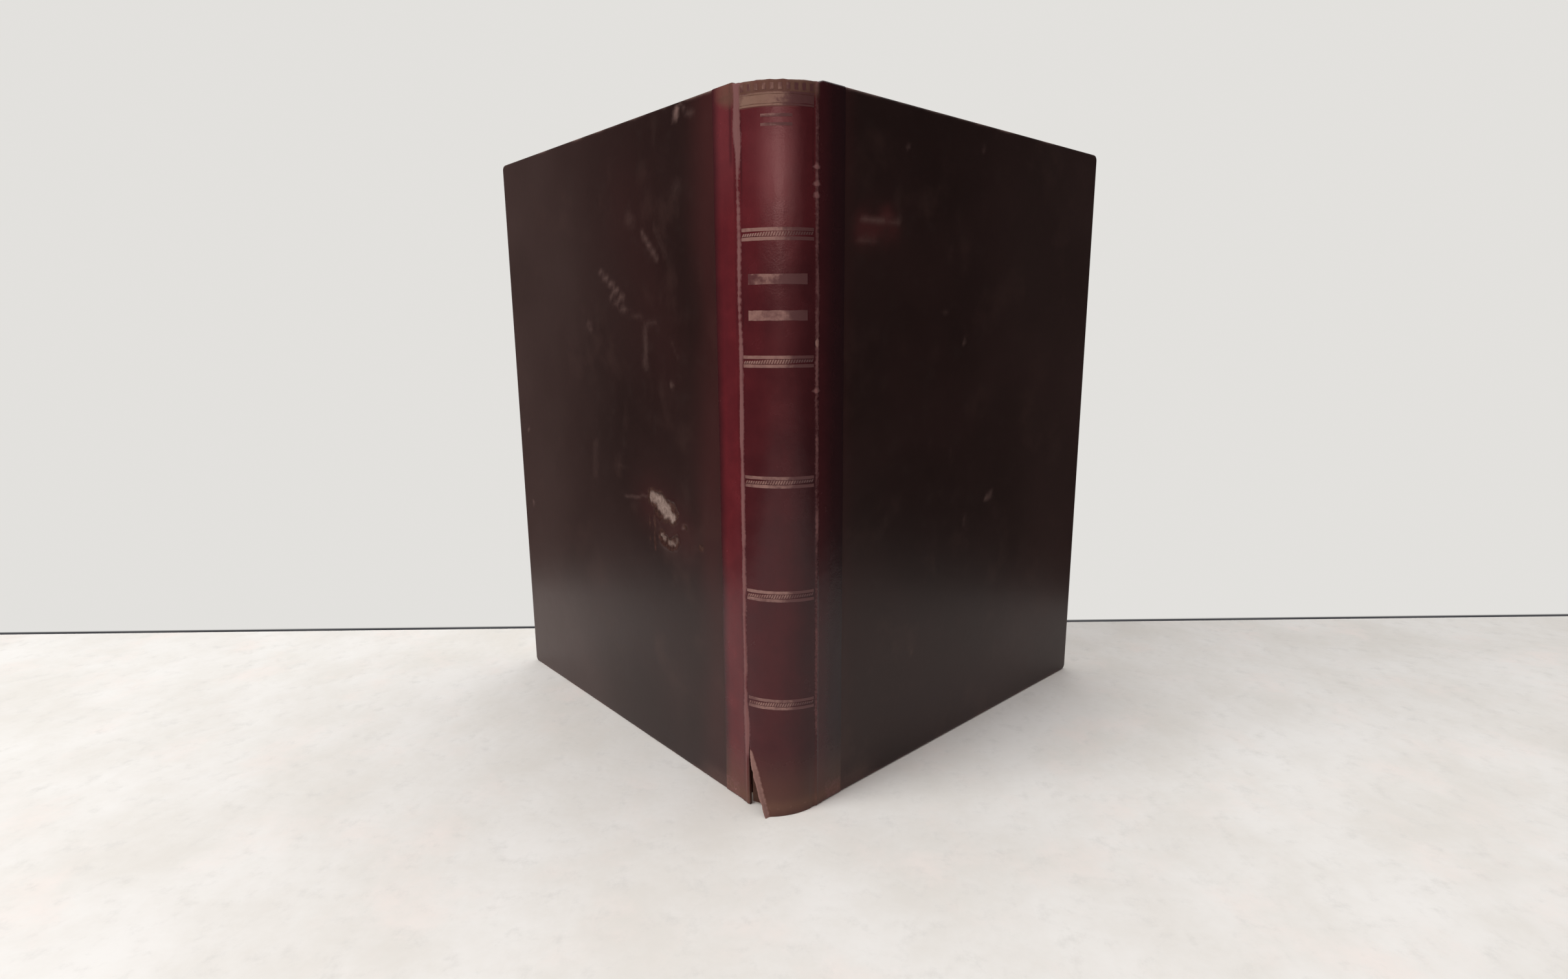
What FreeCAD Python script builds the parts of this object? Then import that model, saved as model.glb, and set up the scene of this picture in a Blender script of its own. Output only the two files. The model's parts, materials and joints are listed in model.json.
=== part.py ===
# An old quarter-bound book that stands on its tail with both covers splayed.
#
# Millimetres. +Z is up, the spine faces -Y, the front cover is on the +X side.
# The origin is the middle of the floor under the book.
#
# The spine is a shallow round shell between two upright joints. Each cover is
# drawn in axes of its own: u runs from the joint to the fore edge, v points out
# of the book, z is up. Its placement then swings it open about the joint.

import FreeCAD, Part
import Sketcher
import math
import os

os.makedirs("parts", exist_ok=True)

doc = FreeCAD.newDocument("QuarterBoundBook")

# Driving sizes, one cell each.

SIZES = [
    ("cover_height", 254.0, "boards with their covering, head to tail"),
    ("cover_width", 183.6, "joint axis to fore edge"),
    ("opening_angle", 44.4, "how far each cover stands open, degrees"),
    ("corner_radius", 2.5, "worn round corners at the fore edge"),
    ("edge_radius", 1.0, "rubbed round edges of the covered boards"),
    ("board", 3.0, "thickness of the pasteboard"),
    ("board_start", 3.5, "joint axis to the board's spine edge"),
    ("leather", 0.7, "thickness of the red leather"),
    ("skin", 0.5, "thickness of the dark side covering"),
    ("strip_width", 13.0, "red leather on each board, from the joint axis"),
    ("turn_in", 8.0, "covering folded over the board's inside"),
    ("pastedown", 0.2, "paper over the board's inside"),
    ("pastedown_lap", 4.0, "how far that paper laps onto the turn-ins"),
    ("endpaper", 0.2, "free endpaper"),
    ("closing_gap", 0.15, "pastedown to free endpaper with the cover closed"),
    ("spine_half", 12.71, "middle of the book to a joint axis"),
    ("spine_crown", 4.15, "how far the round spine stands in front of the joints"),
    ("spine_drop", 0.9, "spine head below the boards' head"),
    ("joint_clear", 1.15, "joint axis to the start of the leather strip"),
    ("inlay", 0.6, "card that stiffens the spine leather"),
    ("inlay_half_angle", 31.0, "half the arc that the card covers, degrees"),
    ("cap_turn_in", 0.4, "pared leather turned in at the spine head"),
    ("cap_turn_in_depth", 15.0, "how far it is turned in"),
    ("cap_half_angle", 33.0, "half the arc of the headcap, degrees"),
    ("hollow", 0.1, "gap between the turned-in leather and the lining"),
    ("lining", 0.4, "paper lining pasted on the back of the block"),
    ("glue", 0.05, "paste between the block's back and its lining"),
    ("lining_half_angle", 33.0, "half the arc of the lining, degrees"),
    ("square", 3.0, "how far the covers stand out past the pages"),
    ("shoulder_inset", 1.4, "joint axis to the tip of the block's shoulder, across"),
    ("shoulder_clear", 0.3, "shoulder to the closed board's edge"),
    ("fore_edge_hollow", 3.5, "depth of the hollow fore edge"),
    ("cord_radius", 0.6, "sewing cord"),
    ("cord_pitch", 48.0, "from one sewing cord to the next"),
    ("cord_count", 5, "sewing cords"),
    ("cord_half_angle", 30.0, "half the arc of a sewing cord, degrees"),
    ("kerf_clear", 0.2, "play of a cord in its saw kerf"),
    ("slip_length", 14.0, "cord end let into the board"),
    ("slip_width", 3.0, "cord end, frayed flat"),
    ("slip_depth", 0.4, "cord end, thickness"),
    ("endband_radius", 1.0, "head and tail band"),
    ("endband_inset", 0.4, "endband to the back of the block"),
    ("endband_half_angle", 26.0, "half the arc of an endband, degrees"),
    ("tear_height", 24.0, "height of the split at the spine's tail"),
    ("tear_strip_angle", 2.5, "arc of the sliver left beside the rear joint, degrees"),
    ("flap_reach", 8.5, "how far the torn corner stands in front of the joints"),
    ("flap_side", 5.8, "torn corner to the middle of the book"),
    ("gilt", 0.1, "raised thickness of the gilt tooling"),
    ("gilt_half_angle", 33.5, "half the arc of a gilt line, degrees"),
    ("gilt_line", 1.1, "height of one gilt line"),
    ("gilt_line_gap", 1.5, "between the two lines of a band"),
    ("band_lowest", 42.5, "middle of the lowest band above the tail"),
    ("band_head", 5.6, "middle of the top band below the spine's head"),
    ("band_count", 6, "gilt bands on the spine, evenly spaced"),
    ("head_line_gap", 3.0, "extra gilt line, above the top band's middle"),
    ("lower_band_count", 4, "gilt bands below the two gilt bars"),
    ("bar_above", 15.1, "middle of the lower gilt bar above the band under it"),
    ("bar_below", 14.2, "middle of the upper gilt bar below the band over it"),
    ("bar_height", 3.6, "height of a gilt bar"),
    ("bar_half_angle", 27.0, "half the arc of a gilt bar, degrees"),
    ("chip_1_along", 50.2, "middle of the large chip in the rear skin, from the joint"),
    ("chip_1_up", 106.4, "the same, above the tail"),
    ("chip_1_length", 19.6, "large chip, along the board"),
    ("chip_1_height", 11.7, "large chip, up the board"),
    ("chip_2_along", 47.9, "middle of the small chip in the rear skin, from the joint"),
    ("chip_2_up", 93.5, "the same, above the tail"),
    ("chip_2_length", 13.8, "small chip, along the board"),
    ("chip_2_height", 6.8, "small chip, up the board"),
]

# Ragged outlines of the two chips, in halves of their length and height.

CHIP_OUTLINES = [
    [(0.98, 0.80), (0.30, 1.00), (-0.07, 0.60), (-0.66, 0.50), (-1.00, -0.22), (-0.83, -0.68),
     (-0.35, -0.82), (0.03, -0.62), (0.43, -1.00), (0.76, -0.62), (0.73, -0.09), (1.00, 0.27)],
    [(1.00, 0.20), (0.29, 0.50), (-0.01, -0.03), (-0.81, 1.00), (-1.00, 0.00), (-0.75, -0.62),
     (-0.06, -1.00), (0.64, -0.74), (0.94, -0.41)],
]

sizes = doc.addObject("Spreadsheet::Sheet", "Sizes")
for row, (alias, value, note) in enumerate(SIZES, start=1):
    sizes.set(f"A{row}", alias)
    sizes.set(f"B{row}", str(value))
    sizes.set(f"C{row}", note)
    sizes.setAlias(f"B{row}", alias)
doc.recompute()

# Sizes that follow from the driving ones.

LAYOUT = [
    ("half_leather", "Sizes.leather / 2"),
    ("spine_radius", "(Sizes.spine_half ^ 2 + Sizes.spine_crown ^ 2) / (2 * Sizes.spine_crown)"),
    ("spine_centre", "Layout.spine_radius - Sizes.spine_crown"),
    ("spine_outer", "Layout.spine_radius + Layout.half_leather"),
    ("spine_inner", "Layout.spine_radius - Layout.half_leather"),
    ("inlay_inner", "Layout.spine_inner - Sizes.inlay"),
    ("cap_inner", "Layout.inlay_inner - Sizes.cap_turn_in"),
    ("lining_outer", "Layout.cap_inner - Sizes.hollow"),
    ("lining_inner", "Layout.lining_outer - Sizes.lining"),
    ("block_radius", "Layout.lining_inner - Sizes.glue"),
    ("cap_radius", "Layout.spine_outer - Layout.cap_inner"),
    ("spine_top", "Sizes.cover_height - Sizes.spine_drop"),
    ("block_half",
     "Sizes.spine_half - Layout.half_leather - Sizes.board - Sizes.skin"
     " - Sizes.pastedown - Sizes.closing_gap - Sizes.endpaper"),
    ("block_height", "Sizes.cover_height - 2 * Sizes.square"),
    ("block_depth", "Sizes.cover_width - Sizes.square"),
    ("shoulder_tip", "Sizes.spine_half - Sizes.shoulder_inset"),
    ("shoulder_tip_depth",
     "Layout.spine_centre - sqrt(Layout.block_radius ^ 2 - Layout.shoulder_tip ^ 2)"),
    ("shoulder_depth", "Sizes.board_start - Sizes.shoulder_clear"),
    ("fore_edge_radius",
     "(Layout.block_half ^ 2 + Sizes.fore_edge_hollow ^ 2) / (2 * Sizes.fore_edge_hollow)"),
    ("fore_edge_centre",
     "Layout.block_depth - Sizes.fore_edge_hollow + Layout.fore_edge_radius"),
    ("kerf_half", "Sizes.cord_radius + Sizes.kerf_clear"),
    ("kerf_inner", "Layout.block_radius - 2 * Layout.kerf_half"),
    ("cord_path", "Layout.block_radius - Layout.kerf_half"),
    ("cord_lowest",
     "Sizes.cover_height / 2 - Sizes.cord_pitch * (Sizes.cord_count - 1) / 2"),
    ("band_highest", "Layout.spine_top - Sizes.band_head"),
    ("band_step", "(Layout.band_highest - Sizes.band_lowest) / (Sizes.band_count - 1)"),
    ("endband_path", "Layout.block_radius - Sizes.endband_inset - Sizes.endband_radius"),
    ("flap_radius",
     "((Sizes.spine_half + Sizes.flap_side) ^ 2 + (Sizes.flap_reach - Layout.half_leather) ^ 2)"
     " / (2 * (Sizes.flap_reach - Layout.half_leather))"),
    ("board_out", "-Layout.half_leather"),
    ("board_in", "-Layout.half_leather - Sizes.board"),
    ("turn_in_face", "Layout.board_in - Sizes.skin"),
    ("front_reach", "max(Sizes.flap_reach; Sizes.spine_crown + Layout.half_leather + Sizes.gilt)"),
    ("joint_y", "(Layout.front_reach - Layout.block_depth) / 2"),
]

layout = doc.addObject("App::VarSet", "Layout")
for name, formula in LAYOUT:
    layout.addProperty("App::PropertyFloat", name)
    layout.setExpression(name, formula)
    doc.recompute()

Z_AXIS = FreeCAD.Vector(0, 0, 1)
TAIL = "0"
HEAD = "Sizes.cover_height"
PAST = "20"  # how far a cutting box runs on past the piece that it cuts
TOUCH = 0.01  # an edge this near to a side of its box lies on that side


def size(alias):
    """The plain number in a sheet's cell."""
    return float(sizes.get(alias))


def make(kind, name, **bound):
    """One document object with its properties bound to the sheet."""
    thing = doc.addObject(kind, name)
    for prop, formula in bound.items():
        thing.setExpression(prop.replace("_", "."), formula)
    return thing


def cut(name, base, tool):
    piece = doc.addObject("Part::Cut", name)
    piece.Base = base
    piece.Tool = tool
    return piece


def join(name, pieces):
    piece = doc.addObject("Part::MultiFuse", name)
    piece.Shapes = pieces
    piece.Refine = True
    return piece


def group(name, pieces):
    piece = doc.addObject("Part::Compound", name)
    piece.Links = pieces
    return piece


finished = []


def finish(piece, node):
    """Name a sub-part: its label is the name of its file."""
    piece.Label = node
    finished.append(piece)
    return piece


# The block, the spine and what lies between them share one placement: the line
# between the two joints is their own y = 0.

def seat(piece, turn=None):
    if turn is not None:
        piece.Placement = FreeCAD.Placement(FreeCAD.Vector(), FreeCAD.Rotation(Z_AXIS, 1))
        piece.setExpression("Placement.Rotation.Angle", f"({turn}) * 1 deg")
    piece.setExpression("Placement.Base.y", "Layout.joint_y")
    return piece


def arc_turn(half_angle):
    """Turn that centres an arc of twice half_angle on the spine's face, -Y."""
    return f"-90 - {half_angle}"


def shell(name, inner, outer, half_angle, low, high):
    """A round strip of the spine: two upright cylinders about the spine's centre."""
    body = make("Part::Cylinder", name + "_body", Radius=outer, Angle=f"2 * {half_angle}",
                Height=f"({high}) - ({low})", Placement_Base_z=low,
                Placement_Base_y="Layout.spine_centre")
    body.Placement = FreeCAD.Placement(FreeCAD.Vector(), FreeCAD.Rotation(Z_AXIS, 1))
    body.setExpression("Placement.Rotation.Angle", f"({arc_turn(half_angle)}) * 1 deg")
    core = make("Part::Cylinder", name + "_core", Radius=inner,
                Height=f"({high}) - ({low})", Placement_Base_z=low,
                Placement_Base_y="Layout.spine_centre")
    return cut(name, body, core)


def ring_cord(name, path, radius, half_angle, height):
    """A cord bent round the spine's centre."""
    ring = make("Part::Torus", name, Radius1=path, Radius2=radius,
                Angle3=f"2 * {half_angle}", Placement_Base_z=height)
    ring.Placement = FreeCAD.Placement(FreeCAD.Vector(), FreeCAD.Rotation(Z_AXIS, 1))
    ring.setExpression("Placement.Rotation.Angle", f"({arc_turn(half_angle)}) * 1 deg")
    ring.setExpression("Placement.Base.y", "Layout.joint_y + Layout.spine_centre")
    return ring


# Text block: a rounded and backed back, flat sides and a hollow fore edge.

def block_outline(body):
    """Seen from above: back arc, shoulder, side, fore-edge arc, side, shoulder."""
    corners = [("-Layout.shoulder_tip", "Layout.shoulder_tip_depth"),
               ("Layout.shoulder_tip", "Layout.shoulder_tip_depth"),
               ("Layout.block_half", "Layout.shoulder_depth"),
               ("Layout.block_half", "Layout.block_depth"),
               ("-Layout.block_half", "Layout.block_depth"),
               ("-Layout.block_half", "Layout.shoulder_depth")]
    places = [FreeCAD.Vector(x_side * x, y, 0) for x_side, x, y in (
        (-1, layout.shoulder_tip, layout.shoulder_tip_depth),
        (1, layout.shoulder_tip, layout.shoulder_tip_depth),
        (1, layout.block_half, layout.shoulder_depth),
        (1, layout.block_half, layout.block_depth),
        (-1, layout.block_half, layout.block_depth),
        (-1, layout.block_half, layout.shoulder_depth))]
    sketch = body.newObject("Sketcher::SketchObject", "BlockOutline")
    plane = [f for f in body.Origin.OriginFeatures if f.Role == "XY_Plane"][0]
    sketch.AttachmentSupport = (plane, "")
    sketch.MapMode = "FlatFace"
    centres = {0: layout.spine_centre, 3: layout.fore_edge_centre}
    radii = {0: "Layout.block_radius", 3: "Layout.fore_edge_radius"}
    ends = []
    for i, start in enumerate(places):
        stop = places[(i + 1) % len(places)]
        if i not in centres:
            sketch.addGeometry(Part.LineSegment(start, stop), False)
            ends.append((1, 2))
            continue
        centre = FreeCAD.Vector(0, centres[i], 0)
        first, last = start - centre, stop - centre
        turns_left = first.cross(last).z > 0
        if not turns_left:
            first, last = last, first
        circle = Part.Circle(centre, Z_AXIS, first.Length)
        sketch.addGeometry(Part.ArcOfCircle(
            circle, math.atan2(first.y, first.x), math.atan2(last.y, last.x)), False)
        ends.append((1, 2) if turns_left else (2, 1))
    for i, (_, far) in enumerate(ends):
        after = (i + 1) % len(ends)
        sketch.addConstraint(Sketcher.Constraint("Coincident", i, far, after, ends[after][0]))
    for i, ((x_rule, y_rule), place) in enumerate(zip(corners, places)):
        for kind, rule, value in (("DistanceX", x_rule, place.x), ("DistanceY", y_rule, place.y)):
            at = sketch.addConstraint(Sketcher.Constraint(kind, -1, 1, i, ends[i][0], value))
            sketch.setExpression(f"Constraints[{at}]", rule)
    for i, rule in radii.items():
        radius = (places[i] - FreeCAD.Vector(0, centres[i], 0)).Length
        at = sketch.addConstraint(Sketcher.Constraint("Radius", i, radius))
        sketch.setExpression(f"Constraints[{at}]", rule)
    return sketch


def cord_height(index):
    return f"(Layout.cord_lowest + {index} * Sizes.cord_pitch)"


def text_block():
    body = doc.addObject("PartDesign::Body", "Pages")
    outline = block_outline(body)
    pad = body.newObject("PartDesign::Pad", "PagesPad")
    pad.Profile = outline
    pad.setExpression("Length", "Layout.block_height")
    body.Tip = pad
    body.setExpression("Placement.Base.z", "Sizes.square")
    kerfs = []
    for i in range(int(size("cord_count"))):
        low = f"{cord_height(i)} - Layout.kerf_half"
        high = f"{cord_height(i)} + Layout.kerf_half"
        ring = make("Part::Cylinder", f"kerf_{i + 1}_ring",
                    Radius="Layout.block_radius + Sizes.lining", Placement_Base_z=low,
                    Height=f"({high}) - ({low})", Placement_Base_y="Layout.spine_centre")
        core = make("Part::Cylinder", f"kerf_{i + 1}_core", Radius="Layout.kerf_inner",
                    Height=f"({high}) - ({low})", Placement_Base_z=low,
                    Placement_Base_y="Layout.spine_centre")
        sides = make("Part::Box", f"kerf_{i + 1}_reach", Length="2 * Sizes.spine_half",
                     Width="Sizes.spine_half / 2 + Layout.shoulder_depth",
                     Height=f"({high}) - ({low})", Placement_Base_z=low,
                     Placement_Base_x="-Sizes.spine_half",
                     Placement_Base_y="-Sizes.spine_half / 2")
        saw = doc.addObject("Part::Common", f"kerf_{i + 1}_saw")
        saw.Base = ring
        saw.Tool = sides
        kerfs.append(cut(f"kerf_{i + 1}", saw, core))
    return finish(seat(cut("TextBlock", body, group("Kerfs", kerfs))), "text_block")


def sewing_cords():
    """Cords pressed six-sided in their kerfs, bent round the spine's centre."""
    for i in range(int(size("cord_count"))):
        section = make("Part::RegularPolygon", f"CordSection{i + 1}",
                       Circumradius="Sizes.cord_radius")
        section.Polygon = 6
        section.Placement = FreeCAD.Placement(
            FreeCAD.Vector(), FreeCAD.Rotation(FreeCAD.Vector(1, 0, 0), 90))
        section.setExpression("Placement.Base.x", "Layout.cord_path")
        cord = make("Part::Revolution", f"Cord{i + 1}", Angle="2 * Sizes.cord_half_angle",
                    Placement_Base_z=cord_height(i))
        cord.Source = section
        cord.Axis = Z_AXIS
        cord.Solid = True
        cord.Placement = FreeCAD.Placement(FreeCAD.Vector(), FreeCAD.Rotation(Z_AXIS, 1))
        cord.setExpression("Placement.Rotation.Angle",
                           f"({arc_turn('Sizes.cord_half_angle')}) * 1 deg")
        cord.setExpression("Placement.Base.y", "Layout.joint_y + Layout.spine_centre")
        finish(cord, f"sewing_cord_{i + 1}")


def endbands():
    lift = "Sizes.endband_radius"
    heights = {"head_endband": f"Sizes.square + Layout.block_height + {lift}",
               "tail_endband": f"Sizes.square - {lift}"}
    for node, height in heights.items():
        band = ring_cord(node + "_core", "Layout.endband_path", "Sizes.endband_radius",
                         "Sizes.endband_half_angle", height)
        finish(band, node)


def free_endpapers():
    for node, low in (("front_free_endpaper", "Layout.block_half"),
                      ("rear_free_endpaper", "-Layout.block_half - Sizes.endpaper")):
        leaf = make("Part::Box", node + "_leaf", Length="Sizes.endpaper",
                    Width="Layout.block_depth - Layout.shoulder_depth",
                    Height="Layout.block_height", Placement_Base_x=low,
                    Placement_Base_y="Layout.joint_y + Layout.shoulder_depth",
                    Placement_Base_z="Sizes.square")
        finish(leaf, node)


def spine_papers():
    lining = shell("Lining", "Layout.lining_inner", "Layout.lining_outer",
                   "Sizes.lining_half_angle", "Sizes.square",
                   "Sizes.square + Layout.block_height")
    finish(seat(lining), "spine_lining")
    inlay = shell("Inlay", "Layout.inlay_inner", "Layout.spine_inner",
                  "Sizes.inlay_half_angle", "Layout.cap_radius",
                  "Layout.spine_top - Layout.cap_radius")
    finish(seat(inlay), "spine_inlay")


# Spine leather: a bent sheet with a round bead on each joint axis, a headcap
# turned in over the card, and a tail that is split beside the rear joint, where
# the torn corner stands forward.

def on_arc(radius, centre, angle, height):
    """A point at angle degrees round from the spine's face, +X side positive."""
    turn = math.radians(angle)
    return centre + FreeCAD.Vector(radius * math.sin(turn), -radius * math.cos(turn), height)


def arc_edge(radius, centre, start, stop, height):
    ends = [on_arc(radius, centre, a, height) for a in (start, (start + stop) / 2, stop)]
    return Part.Arc(*ends).toShape()


def bead_edge(radius, centre, angle, height, side):
    """Half round end of the sheet, about the sheet's own middle."""
    half = layout.half_leather
    outer = on_arc(radius + half, centre, angle, height)
    inner = on_arc(radius - half, centre, angle, height)
    middle = on_arc(radius, centre, angle, height)
    turn = math.radians(angle)
    tip = middle + FreeCAD.Vector(math.cos(turn), math.sin(turn), 0) * half * side
    return Part.Arc(outer, tip, inner).toShape()


def sheet_wire(radius, centre, start, stop, height, start_bead, stop_bead):
    """Section of the bent leather from start to stop, with beads where asked."""
    half = layout.half_leather
    edges = [arc_edge(radius + half, centre, start, stop, height)]
    if stop_bead:
        edges.append(bead_edge(radius, centre, stop, height, 1))
    else:
        edges.append(Part.LineSegment(on_arc(radius + half, centre, stop, height),
                                      on_arc(radius - half, centre, stop, height)).toShape())
    edges.append(arc_edge(radius - half, centre, stop, start, height))
    if start_bead:
        edges.append(bead_edge(radius, centre, start, height, -1))
    else:
        edges.append(Part.LineSegment(on_arc(radius - half, centre, start, height),
                                      on_arc(radius + half, centre, start, height)).toShape())
    return Part.Wire(Part.__sortEdges__(edges))


def upright(wire, rise):
    return Part.Face(wire).extrude(FreeCAD.Vector(0, 0, rise))


def headcap(centre):
    """The head of the spine: rounded over, then turned in behind the card."""
    outer, inner = layout.spine_outer, layout.cap_inner
    top, round_over = layout.spine_top, layout.cap_radius
    card_top = top - round_over
    behind = inner + size("cap_turn_in")
    low = top - size("cap_turn_in_depth")
    quarter = round_over * math.sqrt(0.5)

    def at(radius, height):
        return centre + FreeCAD.Vector(radius, 0, height)

    edges = [
        Part.Arc(at(outer, card_top),
                 at(inner + quarter, card_top + quarter),
                 at(inner, top)).toShape(),
        Part.LineSegment(at(inner, top), at(inner, low)).toShape(),
        Part.LineSegment(at(inner, low), at(behind, low)).toShape(),
        Part.LineSegment(at(behind, low), at(behind, card_top)).toShape(),
        Part.LineSegment(at(behind, card_top), at(outer, card_top)).toShape(),
    ]
    half_arc = size("cap_half_angle")
    cap = Part.Face(Part.Wire(edges)).revolve(centre, Z_AXIS, 2 * half_arc)
    cap.rotate(centre, Z_AXIS, -90 - half_arc)
    return cap


def spine_leather():
    centre = FreeCAD.Vector(0, layout.spine_centre, 0)
    radius = layout.spine_radius
    joint_angle = math.degrees(math.asin(size("spine_half") / radius))
    tear_top = size("tear_height")
    tear_angle = size("tear_strip_angle") - joint_angle
    whole = upright(sheet_wire(radius, centre, -joint_angle, joint_angle, tear_top, True, True),
                    layout.spine_top - layout.cap_radius - tear_top)
    sliver = upright(sheet_wire(radius, centre, -joint_angle, tear_angle, 0, True, False),
                     tear_top)
    flap_centre = FreeCAD.Vector(
        -size("flap_side"), layout.flap_radius - size("flap_reach") + layout.half_leather, 0)
    flap_angle = math.degrees(math.asin((size("spine_half") + size("flap_side"))
                                        / layout.flap_radius))
    flap = Part.makeLoft(
        [sheet_wire(layout.flap_radius, flap_centre, 0, flap_angle, 0, False, True),
         sheet_wire(radius, centre, tear_angle, joint_angle, tear_top, False, True)],
        True, True)
    piece = doc.addObject("Part::Feature", "SpineLeather")
    piece.Shape = whole.multiFuse([sliver, flap, headcap(centre)]).removeSplitter()
    return finish(seat(piece), "spine_leather")


# Gilt tooling: a pair of lines at each band, one more at the head, and two bars.

def band_height(index):
    return f"(Sizes.band_lowest + {index} * Layout.band_step)"


def gilt_tooling():
    lines = []

    def line(middle, height, half_angle):
        name = f"Gilt{len(lines) + 1}"
        lines.append(shell(name, "Layout.spine_outer", "Layout.spine_outer + Sizes.gilt",
                           half_angle, f"{middle} - {height} / 2",
                           f"{middle} + {height} / 2"))

    step = "(Sizes.gilt_line + Sizes.gilt_line_gap) / 2"
    for i in range(int(size("band_count"))):
        band = band_height(i)
        for side in ("-", "+"):
            line(f"({band} {side} {step})", "Sizes.gilt_line", "Sizes.gilt_half_angle")
    line("(Layout.band_highest + Sizes.head_line_gap)", "Sizes.gilt_line",
         "Sizes.gilt_half_angle")
    band_under = band_height("(Sizes.lower_band_count - 1)")
    band_over = band_height("Sizes.lower_band_count")
    for middle in (f"({band_under} + Sizes.bar_above)", f"({band_over} - Sizes.bar_below)"):
        line(middle, "Sizes.bar_height", "Sizes.bar_half_angle")
    return finish(seat(group("GiltTooling", lines)), "gilt_tooling")


# Covers. The same pieces on both sides, in the cover's own axes.

def slab(name, side, along, out, up):
    """A box in a cover's axes: (from, to) along u, v and z."""
    across = out[0] if side == "rear" else f"-({out[1]})"
    return make("Part::Box", f"{side}_{name}",
                Length=f"({along[1]}) - ({along[0]})", Width=f"({out[1]}) - ({out[0]})",
                Height=f"({up[1]}) - ({up[0]})", Placement_Base_x=along[0],
                Placement_Base_y=across, Placement_Base_z=up[0])


def round_edges(box, corner_radius, rub_radius=0):
    """Round a slab's two fore-edge corners, and rub the edges that frame its two
    faces at the head, the tail and the fore edge. A radius of 0 leaves them
    sharp, and without round corners the fore edge stays sharp too."""
    doc.recompute()
    all_round = box.Shape.BoundBox
    picked = []
    for number, edge in enumerate(box.Shape.Edges, start=1):
        ends = edge.BoundBox
        at_fore_edge = ends.XMin > all_round.XMax - TOUCH
        at_joint_side = ends.XMax < all_round.XMin + TOUCH
        if ends.YLength > TOUCH:
            radius = corner_radius if at_fore_edge else 0
        elif at_joint_side or (at_fore_edge and not corner_radius):
            radius = 0
        else:
            radius = rub_radius
        if radius:
            picked.append((number, radius, radius))
    piece = doc.addObject("Part::Fillet", box.Name + "_rounded")
    piece.Base = box
    piece.Edges = picked
    return piece


def hang(piece, side):
    """Put a cover's piece on its joint and swing it open."""
    piece.Placement = FreeCAD.Placement(FreeCAD.Vector(), FreeCAD.Rotation(Z_AXIS, 1))
    if side == "front":
        piece.setExpression("Placement.Base.x", "Sizes.spine_half")
        turn = "90 - Sizes.opening_angle"
    else:
        piece.setExpression("Placement.Base.x", "-Sizes.spine_half")
        turn = "90 + Sizes.opening_angle"
    piece.setExpression("Placement.Base.y", "Layout.joint_y")
    piece.setExpression("Placement.Rotation.Angle", f"({turn}) * 1 deg")
    return piece


def chip(number):
    """A ragged hole through the rear cover's skin, down to the board."""
    along, up = size(f"chip_{number}_along"), size(f"chip_{number}_up")
    half_length = size(f"chip_{number}_length") / 2
    half_height = size(f"chip_{number}_height") / 2
    corners = [FreeCAD.Vector(along + x * half_length, layout.board_out, up + z * half_height)
               for x, z in CHIP_OUTLINES[number - 1]]
    outline = Part.makePolygon(corners + corners[:1])
    piece = doc.addObject("Part::Feature", f"rear_chip_{number}")
    piece.Shape = Part.Face(outline).extrude(FreeCAD.Vector(0, 2 * size("skin"), 0))
    return piece


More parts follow.
